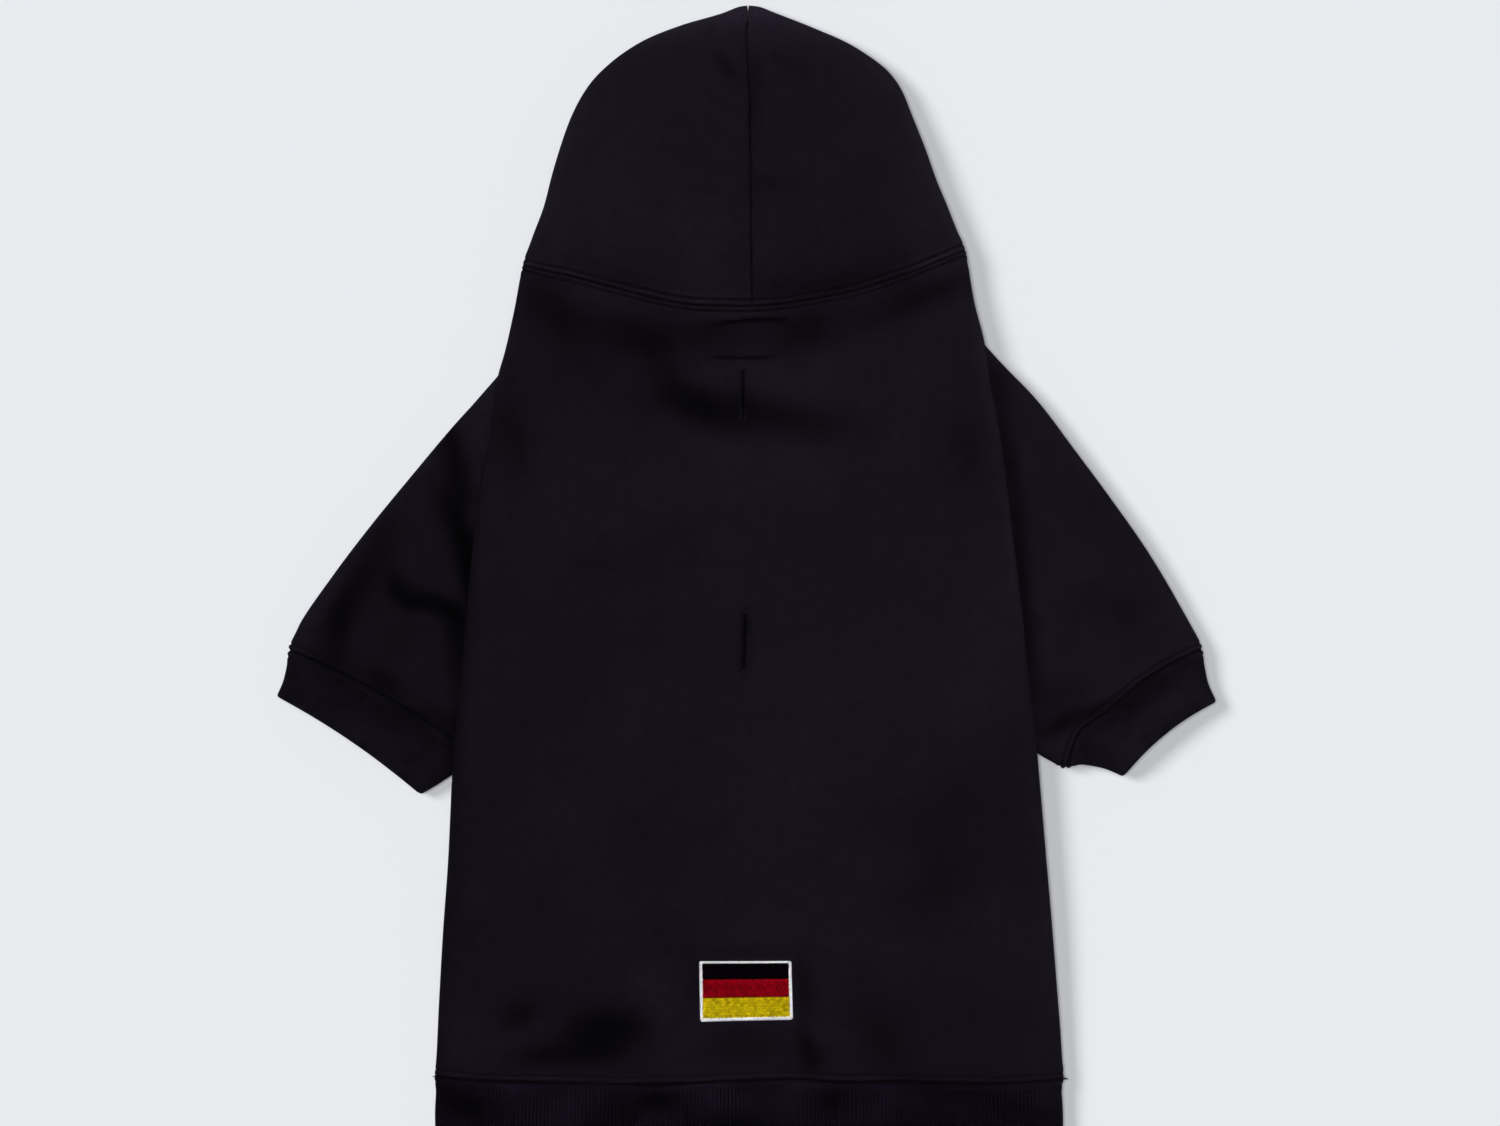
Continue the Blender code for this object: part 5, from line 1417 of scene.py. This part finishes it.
top_p, top_phase = wale_columns(hem_line, -2.0, 2.0, WALE, 5)
right_p, right_phase = wale_columns(hem_line, 2.0, 4.0, WALE, 4)
left_p, left_phase = wale_columns(hem_line, -4.0, -2.0, WALE, 4)
around = np.concatenate([left_p, top_p, right_p])
phase = np.concatenate([left_phase, top_phase, right_phase])
hem_rows = between(
    HEM + 0.12, BAND_END, UNIT, 0.0040, MM * np.array([0.06, 0.25, 0.6, 1.1, 1.8, 2.5, 3.0, 3.5, 4.3]), MM * np.array([0.0, 0.12, 0.4, 0.9, 1.6, 2.6])
)
grid_c, grid_p = np.meshgrid(hem_rows, around, indexing="ij")
grid_c = np.array(grid_c)
grid_c[0] += (HEM + 0.01 - hem_rows[0]) * sides(grid_p[0], (-2, 2), 0.6)
surface = torso(grid_c, grid_p, False)
surface[..., 1] += hem_sag(to_table(surface)[0], grid_c, grid_p)
flat = np.abs(grid_p) >= 3
surface[..., 2] = np.where(flat, 0.0, surface[..., 2])
keep = np.ones((len(hem_rows) - 1, len(around)), bool)
edge = free_edges(surface, keep, True)
down = lengths(surface, 0)
x, y = to_table(surface)
strength = 0.34 * MM * np.clip((down - 0.0008) / 0.0030, 0.10, 1)
wander = np.clip(0.62 + 0.40 * waves(x, 0.4 * y, 41, 22, 110), 0.12, 1.25)
relief = rib_relief(phase[None] + 0.0 * grid_c, strength * wander)
seam = seam_relief(down, x, y, 23, GAUGE, 0.3)
relief = relief + np.where(flat, np.minimum(seam, 0), seam)
normal = -grid_normals(surface, True)
normal[flat] = (0.0, 0.0, -1.0)
# Painted shade in the rib's grooves, and painted highlight on its wales
wave = np.abs(np.sin(math.pi * phase))[None]
groove_shade = wander * (1.10 * (1 - wave**0.8) - 0.42 * wave**4) * np.clip(down / 0.004, 0, 1)
# Painted shade in cloudy patches over the band, and painted highlight in some patches and along the seam
painted_band_shading = np.clip(0.14 + 0.28 * waves(x, 1.6 * y, 43, 60, 190), -0.1, 0.6)
for at_x, at_y, wide, much in (
    (660, 1102, 30, 0.66), (838, 1100, 27, 0.72), (476, 1109, 38, 0.76), (985, 1114, 34, 0.44), (795, 1112, 16, 0.30), (640, 1092, 18, -0.18), (742, 1124, 60, 0.16),
    (600, 1094, 36, -0.14), (905, 1098, 30, -0.12), (760, 1092, 26, -0.14)
):
    painted_band_shading = painted_band_shading + much * bump(x - at_x, wide) * bump(y - at_y, 13)
painted_band_shading = painted_band_shading - 0.26 * bump(down - 0.010, 0.007) - 0.55 * bump(down - 0.0024, 0.0009)
groove_shade = 1 - (1 - groove_shade) * (1 - np.minimum(painted_band_shading, 0.85) * (np.abs(grid_p) < 2.2))
hem, outer, normal = cloth(
    "hem_cloth", surface, relief, edge, RIB, rib_band_shaded, keep, ring=True, normal=normal,
    fold=1 - (1 - groove_shade) * (1 - seam_shade(edge)),
    least=0.06 + 0.90 * sides(grid_p, (-2, 2), 0.34) * bump(down, 0.004),
)
place(hem, "rib_knit", "hem_band")
on_band = np.nonzero(np.abs(around) < 1.75)[0][::3]
sew(*along_columns(outer, normal, down, GAUGE, on_band), start=0.0011, lift=0.0001)

# ---------------------------------------------------------------- sleeves and cuffs

sleeve_loop = np.concatenate(
    [
        steps((0, 0.25, 10))[:-1],
        steps((0.25, 0.75, 44))[:-1],
        steps((0.75, 1, 9))[:-1],
        steps((1, 1.25, 8))[:-1],
        steps((1.25, 1.75, 22))[:-1],
        steps((1.75, 2, 8))[:-1],
    ]
)
near_seam = np.array([0.005, 0.012, 0.024, 0.042, 0.066, 0.095, 0.13, 0.165, 0.195, 0.22, 0.245, 0.27, 0.30, 0.34, 0.39, 0.45, 0.52, 0.60, 0.69, 0.79, 0.90])
sleeve_rows = np.concatenate([steps((0, 1, 6))[:-1], steps((1, 6, 70)), CUFF_SEAM - near_seam[::-1]])
for side, table in (("left", LEFT_ARM), ("right", RIGHT_ARM)):
    right = side == "right"
    grid_k, grid_b = np.meshgrid(sleeve_rows, sleeve_loop, indexing="ij")
    surface = arm(table, side, grid_k, grid_b, right)
    keep = np.ones((len(sleeve_rows) - 1, len(sleeve_loop)), bool)
    edge = free_edges(surface, keep, True)
    x, y = to_table(surface)
    down = lengths(surface, 0)
    from_cuff = down[-1:] - down
    on_top = np.where(grid_b <= 1, np.clip(np.minimum(grid_b, 1 - grid_b) / 0.04, 0, 1), 0)
    relief = seam_relief(from_cuff, x, y, 24, GAUGE, 0.45)
    relief = np.where(grid_b <= 1, relief, np.minimum(relief, 0))
    # Painted shade in the cuff seam's ditch, its row of stitches and the folds; painted highlight on the seam ridge and
    # where a fold's shade is below 0
    dark = seam_shade(edge, from_cuff, GAUGE, 0.62, 0.22)
    painted_shading = 1 - (1 - folds_at(side, x, y)[1] * on_top) * (1 - dark)
    normal = grid_normals(surface, True) * (1 if right else -1)
    sleeve, outer, normal = cloth(
        f"sleeve_{side}_cloth", surface, relief, edge, FLEECE, fleece, keep, ring=True, normal=normal, fold=painted_shading,
        flip=right, least=0.06 + 0.55 * sides(grid_b, (0, 1, 2), 0.07) * bump(from_cuff, 0.004),
    )
    place(sleeve, "fleece", f"sleeve_{side}")
    round_top = np.nonzero((sleeve_loop > 0.10) & (sleeve_loop < 0.90))[0]
    sew(*along_columns(outer, normal, from_cuff, GAUGE, round_top), start=0.0011)

    grid_k, grid_b = np.meshgrid(np.linspace(CUFF_SEAM - 0.45, CUFF_SEAM + 0.42, 9), np.linspace(0.12, 0.88, 60), indexing="ij")
    surface = arm(table, side, grid_k, grid_b, right)
    tape(f"cuff_tape_{side}", surface, grid_normals(surface, False) * (1 if right else -1), 0.0006, RIB + 0.0004)

    def cuff_line(b):
        return arm(table, side, np.full(np.shape(b), 8.5), b, right)

    top_b, top_phase = wale_columns(cuff_line, 0.0, 1.0, WALE, 5)
    low_b, low_phase = wale_columns(cuff_line, 1.0, 2.0, WALE, 4)
    around, phase = np.concatenate([top_b, low_b]), np.concatenate([top_phase, low_phase])
    cuff_rows = np.concatenate(
        [CUFF_SEAM + np.array([0.008, 0.03, 0.07, 0.13, 0.20, 0.28, 0.36, 0.43, 0.52]), np.linspace(0.68, 2.6, 11) + CUFF_SEAM, CUFF_END - np.array([0.26, 0.16, 0.09, 0.04, 0.012, 0.0])]
    )
    grid_k, grid_b = np.meshgrid(cuff_rows, around, indexing="ij")
    surface = arm(table, side, grid_k, grid_b, right)
    keep = np.ones((len(cuff_rows) - 1, len(around)), bool)
    edge = free_edges(surface, keep, True)
    x, y = to_table(surface)
    down = lengths(surface, 0)
    wander = np.clip(0.56 + 0.40 * waves(x, y, 42, 18, 80), 0.10, 1.2)
    strength = 0.30 * MM * np.clip((down - 0.0008) / 0.0030, 0.10, 1) * wander
    relief = rib_relief(phase[None] + 0.0 * grid_k, strength)
    seam = seam_relief(down, x, y, 26, GAUGE, 0.3)
    relief = relief + np.where(grid_b <= 1, seam, np.minimum(seam, 0))
    normal = grid_normals(surface, True) * (1 if right else -1)
    # Painted shade in the rib's grooves, the folds and the seam ditch, paler towards the leg opening, and a painted
    # highlight on the ridge beside the seam
    shade = 0.95 * wander * (1 - np.abs(np.sin(math.pi * phase)) ** 0.8)[None] * np.clip(down / 0.004, 0, 1)
    shade = shade - 0.30 * np.clip((down - 0.009) / 0.008, 0, 1) - 0.3 * bump(down - 0.0024, 0.0009)
    cuff, outer, normal = cloth(
        f"cuff_{side}_cloth", surface, relief, edge, RIB, rib, keep, ring=True, normal=normal,
        fold=1 - (1 - shade) * (1 - folds_at(side, x, y)[1] * (grid_b <= 1)) * (1 - seam_shade(edge)), flip=right,
        least=0.06 + 0.55 * sides(grid_b, (0, 1, 2), 0.07) * bump(down, 0.004),
    )
    place(cuff, "rib_knit", f"cuff_{side}")
    round_top = np.nonzero((around > 0.10) & (around < 0.90))[0][::3]
    sew(*along_columns(outer, normal, down, GAUGE, round_top), start=0.0011, lift=0.0001)

# ---------------------------------------------------------------- flag patch


def cloth_height_at(x, y):
    """Height of the back at a table point, in millimetres."""
    x, y = np.asarray(x, float), np.asarray(y, float)
    c = y.copy()
    for _ in range(30):
        right = x > TORSO("centre", c)
        side_x = np.where(right, TORSO("right_x", c), TORSO("left_x", c))
        side_y = np.where(right, TORSO("right_y", c), TORSO("left_y", c))
        u = (x - TORSO("centre", c)) / (side_x - TORSO("centre", c))
        c = c + (y - side_y - (c - side_y) * (1 - u * u))
    return torso_height(x, y, u, c, right, side_y)[0]


PATCH = ((699.4, 960.2), (791.0, 959.9), (792.7, 1018.3), (700.4, 1020.4))  # corners, from the upper left
PATCH_WIDE, PATCH_HIGH = 0.0451, 0.0288  # metres


def patch_point(s, t, height):
    """A point of the patch, s across and t down it in metres from its upper left corner, height above its
    underside in metres."""
    s, t = np.broadcast_arrays(np.asarray(s, float), np.asarray(t, float))
    a, b = s / PATCH_WIDE, t / PATCH_HIGH
    (x0, y0), (x1, y1), (x2, y2), (x3, y3) = PATCH
    px = (1 - b) * ((1 - a) * x0 + a * x1) + b * ((1 - a) * x3 + a * x2)
    py = (1 - b) * ((1 - a) * y0 + a * y1) + b * ((1 - a) * y3 + a * y2)
    z = np.interp(a, PATCH_A, np.arange(len(PATCH_A))) * 0
    i = np.clip(a, 0, 1) * (PATCH_Z.shape[1] - 1)
    j = np.clip(b, 0, 1) * (PATCH_Z.shape[0] - 1)
    i0, j0 = np.minimum(i.astype(int), PATCH_Z.shape[1] - 2), np.minimum(j.astype(int), PATCH_Z.shape[0] - 2)
    fi, fj = i - i0, j - j0
    z = (
        PATCH_Z[j0, i0] * (1 - fi) * (1 - fj)
        + PATCH_Z[j0, i0 + 1] * fi * (1 - fj)
        + PATCH_Z[j0 + 1, i0] * (1 - fi) * fj
        + PATCH_Z[j0 + 1, i0 + 1] * fi * fj
    )
    return world(px, py, z + (height + 0.00035) / MM)


PATCH_A = np.linspace(0, 1, 24)
sample_b, sample_a = np.meshgrid(np.linspace(0, 1, 16), PATCH_A, indexing="ij")
(x0, y0), (x1, y1), (x2, y2), (x3, y3) = PATCH
PATCH_Z = cloth_height_at(
    (1 - sample_b) * ((1 - sample_a) * x0 + sample_a * x1) + sample_b * ((1 - sample_a) * x3 + sample_a * x2),
    (1 - sample_b) * ((1 - sample_a) * y0 + sample_a * y1) + sample_b * ((1 - sample_a) * y3 + sample_a * y2),
)
RIM_SIDE, RIM_TOP, RIM_END = 0.00152, 0.00098, 0.00180  # width of the border at the sides, top and bottom


def slab(s0, s1, t0, t1, thickness, base=0.0):
    """A thin field, as vertices and quads, that follows the back."""
    ns, nt = max(2, int((s1 - s0) / 0.0012)), max(2, int((t1 - t0) / 0.0012))
    t, s = np.meshgrid(np.linspace(t0, t1, nt), np.linspace(s0, s1, ns), indexing="ij")
    top, low = patch_point(s, t, base + thickness), patch_point(s, t, base)
    index = np.arange(nt * ns).reshape(nt, ns)
    total = nt * ns
    a, b, c, d = index[:-1, :-1], index[:-1, 1:], index[1:, 1:], index[1:, :-1]
    faces = [np.stack([a, d, c, b], -1).reshape(-1, 4), np.stack([a, b, c, d], -1).reshape(-1, 4) + total]
    for line in (index[0], index[-1][::-1], index[::-1, 0], index[:, -1]):
        p, q = line[:-1], line[1:]
        faces.append(np.stack([p, q, q + total, p + total], -1))
    return np.concatenate([top.reshape(-1, 3), low.reshape(-1, 3)]), np.concatenate(faces)


def strands(starts, ends, base, radius, dice, bow=0.00010):
    """Embroidery stitches from starts to ends, as (s, t) in metres on the patch."""
    t = np.array([0.0, 0.07, 0.3, 0.7, 0.93, 1.0])
    lift = radius * np.array([-0.9, 0.25, 0.9, 0.9, 0.25, -0.9]) + bow * np.array([0, 0.3, 1, 1, 0.3, 0])
    s = starts[:, None, 0] + (ends - starts)[:, None, 0] * t[None]
    v = starts[:, None, 1] + (ends - starts)[:, None, 1] * t[None]
    jitter = (dice.random((len(starts), 1)) - 0.5) * radius * 0.5
    paths = patch_point(s, v, base + lift[None] + jitter)
    ups = np.zeros_like(paths)
    ups[..., 2] = 1.0
    return tubes(paths, ups, radius, (0.5, 0.85, 1, 1, 0.85, 0.5), wide=1.15)


def fill(s0, s1, t0, t1, base, slants, length, pitch, radius, seed):
    """Rows of stitches over a field. slants holds the lean of each band of stitches, which follow each other
    down the field, so that two unequal leans make a zigzag."""
    dice = np.random.default_rng(seed)
    starts, ends = [], []
    bands = max(1, int(round((t1 - t0) / length)))
    high = (t1 - t0) / bands
    for band in range(bands):
        lean = slants[band % len(slants)] * high
        for i, s in enumerate(np.arange(s0 - abs(lean), s1 + abs(lean), pitch)):
            offset = (0.0, 0.33, -0.33)[i % 3] * high * 0.35 if bands > 1 else 0.0
            top = t0 + band * high + (offset if band else 0.0) + dice.normal(0, 0.00005)
            end = t0 + (band + 1) * high + (offset if band < bands - 1 else 0.0) + dice.normal(0, 0.00005)
            a, b = s + dice.normal(0, pitch * 0.06), s + lean + dice.normal(0, pitch * 0.06)
            if min(a, b) < s0 or max(a, b) > s1:
                # A stitch that would leave the field is cut back to it
                if max(a, b) < s0 or min(a, b) > s1 or a == b:
                    continue
                low, high_s = sorted(((s0 - a) / (b - a), (s1 - a) / (b - a)))
                low, high_s = max(0.0, low), min(1.0, high_s)
                if high_s - low < 0.2:
                    continue
                a, b, top, end = a + (b - a) * low, a + (b - a) * high_s, top + (end - top) * low, top + (end - top) * high_s
            starts.append((a, top))
            ends.append((b, end))
    return strands(np.array(starts), np.array(ends), base, radius, dice)


brick_darkness = []  # how much each of the level stitches is darkened, at random


def bricks(s0, s1, t0, t1, base, length, course, radius, seed):
    """Short level stitches laid like bricks: courses of three threads, each course half a stitch along."""
    dice = np.random.default_rng(seed)
    shades = np.random.default_rng(seed + 20).random((40, 60))
    starts, ends = [], []
    count = max(1, int(round((t1 - t0) / course)))
    high = (t1 - t0) / count
    for row in range(count):
        for line in range(3):
            t = t0 + (row + 0.18 + 0.28 * line) * high
            first = s0 - length * (0.5 * (row % 2) + 0.12 * line + 0.1)
            for s in np.arange(first, s1, length):
                a, b = s + dice.normal(0, 0.00005), s + length * 0.93 + dice.normal(0, 0.00005)
                a, b = max(a, s0), min(b, s1)
                if b - a > 0.00035:
                    brick_darkness.append(shades[row, int((s - first) / length + 0.5)])
                    starts.append((a, t + dice.normal(0, 0.000015)))
                    ends.append((b, t + 0.26 * high + dice.normal(0, 0.000015)))
    return strands(np.array(starts), np.array(ends), base, radius, dice, bow=0.00016)


inner_left, inner_right = RIM_SIDE * 0.72, PATCH_WIDE - RIM_SIDE * 0.72
FIELDS = (
    ("black", black, 0.00072, 0.00862, (0.0,), 0.0036, 0.00036, 0.00021, 51),
    ("red", red, 0.00862, 0.01750, (0.75, 0.75), 0.0043, 0.00044, 0.00021, 52),
    ("gold", gold, 0.01750, 0.02745, (), 0.0019, 0.00142, 0.00023, 53),
)
for name, material, t0, t1, slants, length, pitch, radius, seed in FIELDS:
    parts = [slab(inner_left, inner_right, t0 + 0.00006, t1 - 0.00006, 0.00062 if slants else 0.00046)]
    box = (inner_left, inner_right, t0 + 0.00008, t1 - 0.00008, 0.00068)
    parts.append(fill(*box, slants, length, pitch, radius, seed) if slants else bricks(*box, length, pitch, radius, seed))
    verts, faces = join(parts)
    # Each strand is darkened by a random amount, and the ground under the strands carries a painted shade
    strands_made = len(parts[1][0]) // 36
    strand_darkness = np.random.default_rng(seed + 10).random(strands_made) * 0.52
    if not slants:
        strand_darkness = 0.22 * strand_darkness + 0.42 * np.array(brick_darkness) ** 1.3
    strand_darkness = np.repeat(strand_darkness, 36)
    ground_shade_and_strand_tone = np.concatenate([np.full(len(parts[0][0]), 0.62), strand_darkness, np.zeros(len(parts[1][0]) - len(strand_darkness))])
    piece = mesh_object(f"patch_{name}_threads", verts, faces, material, fold=ground_shade_and_strand_tone)
    place(piece, f"{name}_thread", f"patch_stripe_{name}")


def rim_path():
    """Centre line of the border, round its corners, with the outward direction and half width at each point."""
    step = 0.00030
    r = 0.0004
    left, right, top, low = RIM_SIDE / 2, PATCH_WIDE - RIM_SIDE / 2, RIM_TOP / 2, PATCH_HIGH - RIM_END / 2
    out = []

    def side(ax, ay, bx, by, nx, ny, width):
        n = int(round(math.hypot(bx - ax, by - ay) / step))
        for i in range(n):
            out.append((ax + (bx - ax) * i / n, ay + (by - ay) * i / n, nx, ny, width))

    def corner(cx, cy, first, w0, w1):
        for i in range(5):
            a = math.radians(first + 90 * i / 5)
            out.append((cx + r * math.cos(a), cy + r * math.sin(a), math.cos(a), math.sin(a), w0 + (w1 - w0) * i / 5))

    ws, wt, we = RIM_SIDE / 2, RIM_TOP / 2, RIM_END / 2
    side(left + r, top, right - r, top, 0, -1, wt)
    corner(right - r, top + r, -90, wt, ws)
    side(right, top + r, right, low - r, 1, 0, ws)
    corner(right - r, low - r, 0, ws, we)
    side(right - r, low, left + r, low, 0, 1, we)
    corner(left + r, low - r, 90, we, ws)
    side(left, low - r, left, top + r, -1, 0, ws)
    corner(left + r, top + r, 180, ws, wt)
    return np.array(out)


rim = rim_path()
dice = np.random.default_rng(54)
angles = np.radians(np.array([-18.0, 18.0, 52.0, 90.0, 128.0, 162.0, 198.0]))
across = rim[:, None, 4] * np.cos(angles)[None] * (1 + 0.05 * dice.normal(size=(len(rim), 1)))
lean = 0.00016 * np.cos(angles)[None]
s = rim[:, None, 0] + rim[:, None, 2] * across - rim[:, None, 3] * lean
t = rim[:, None, 1] + rim[:, None, 3] * across + rim[:, None, 2] * lean
height = 0.00040 + 0.00085 * np.sin(angles)[None] + 0.00004 * dice.normal(size=(len(rim), 1))
paths = patch_point(s, t, np.maximum(height, -0.00005))
ups = np.gradient(paths, axis=1)
outward = np.stack([rim[:, 2], -rim[:, 3], np.zeros(len(rim))], -1)[:, None] * np.cos(angles)[None, :, None]
ups = outward + np.array([0.0, 0.0, 1.0]) * np.sin(angles)[None, :, None]
parts = [tubes(paths, ups, 0.00019, (0.8, 1, 1, 1, 1, 1, 0.8))]
# The cord under the border's stitches, closed round the patch
core_angle = np.radians(np.linspace(-20, 200, 9))
across = rim[:, None, 4] * 0.93 * np.cos(core_angle)[None]
core = patch_point(
    rim[:, None, 0] + rim[:, None, 2] * across, rim[:, None, 1] + rim[:, None, 3] * across,
    np.maximum(0.00036 + 0.00078 * np.sin(core_angle)[None], 0.0) + 0 * across,
)
index = np.arange(core.shape[0] * core.shape[1]).reshape(core.shape[:2])
ahead, beside = np.roll(index, -1, 0), np.roll(index, -1, 1)
both = np.roll(ahead, -1, 1)
parts.append((core.reshape(-1, 3), np.stack([index, beside, both, ahead], -1).reshape(-1, 4)))
verts, faces = join(parts)
place(mesh_object("patch_border_threads", verts, faces, white), "white_thread", "patch_border")

verts, faces = join(threads)
place(mesh_object("seam_threads", verts, faces, sewing), "fleece")

# ---------------------------------------------------------------- floor, light and camera

PALE = (0.806, 0.822, 0.854)

floor_mesh = bpy.data.meshes.new("floor")
floor_mesh.from_pydata([(-9, -9, -0.0003), (9, -9, -0.0003), (9, 9, -0.0003), (-9, 9, -0.0003)], [], [(0, 1, 2, 3)])
floor = bpy.data.objects.new("floor", floor_mesh)
bpy.context.scene.collection.objects.link(floor)
material, tree, shader = shader_of("floor")
shader.inputs["Base Color"].default_value = (*PALE, 1)
shader.inputs["Roughness"].default_value = 0.9
shader.inputs["Specular IOR Level"].default_value = 0.0
floor_mesh.materials.append(material)

# A pale round wall far away, seen behind the floor from low down, that neither lights nor shades anything
build = bmesh.new()
bmesh.ops.create_uvsphere(build, u_segments=48, v_segments=24, radius=15.0)
wall_mesh = bpy.data.meshes.new("backdrop")
build.to_mesh(wall_mesh)
build.free()
backdrop = bpy.data.objects.new("backdrop", wall_mesh)
bpy.context.scene.collection.objects.link(backdrop)
material = bpy.data.materials.new("backdrop")
material.use_nodes = True
tree = material.node_tree
tree.nodes.remove(tree.nodes["Principled BSDF"])
glow = tree.nodes.new("ShaderNodeEmission")
glow.inputs["Color"].default_value = (*PALE, 1)
tree.links.new(glow.outputs[0], tree.nodes["Material Output"].inputs["Surface"])
wall_mesh.materials.append(material)
for ray in ("visible_diffuse", "visible_glossy", "visible_transmission", "visible_volume_scatter", "visible_shadow"):
    setattr(backdrop, ray, False)

world_light = bpy.data.worlds.new("studio")
world_light.use_nodes = True
sky = world_light.node_tree.nodes["Background"]
sky.inputs["Color"].default_value = (0.97, 0.98, 1.0, 1)
sky.inputs["Strength"].default_value = 0.07
bpy.context.scene.world = world_light


def sun(name, strength, angle, tilt, heading):
    """A broad light from above. tilt leans it from the upright, towards heading in degrees from +X."""
    light = bpy.data.lights.new(name, "SUN")
    light.energy = strength
    light.angle = math.radians(angle)
    made = bpy.data.objects.new(name, light)
    made.rotation_euler = (0.0, math.radians(tilt), math.radians(heading))
    bpy.context.scene.collection.objects.link(made)
    return made


def only_on(light, name, objects):
    """Let a light fall on some objects only."""
    group = bpy.data.collections.new(name)
    for one in objects:
        group.objects.link(one)
    light.light_linking.receiver_collection = group


garment = [o for o in bpy.context.scene.objects if o.type == "MESH" and o not in (floor, backdrop)]
sun("overhead", 1.78, 16, 3, 170)
only_on(sun("shadow_side", 1.593, 22, 43, 161), "lit_floor", [floor])
only_on(sun("cloth_side", 1.30, 24, 26, 55), "lit_cloth", garment)

camera_data = bpy.data.cameras.new("camera")
camera_data.sensor_fit = "HORIZONTAL"
camera_data.sensor_width = 36.0
HEIGHT = 6.0  # camera above the cloth
camera_data.lens = 36.0 * HEIGHT / (1500 * UNIT)
camera_data.clip_start, camera_data.clip_end = 0.1, 40.0
camera_data.dof.use_dof = False
camera = bpy.data.objects.new("camera", camera_data)
camera.location = ((750 - CENTRE_X) * UNIT, (CENTRE_Y - 563) * UNIT, HEIGHT + 0.012)
bpy.context.scene.collection.objects.link(camera)
bpy.context.scene.camera = camera
bpy.context.scene.view_settings.view_transform = "Standard"
bpy.context.scene.view_settings.look = "None"
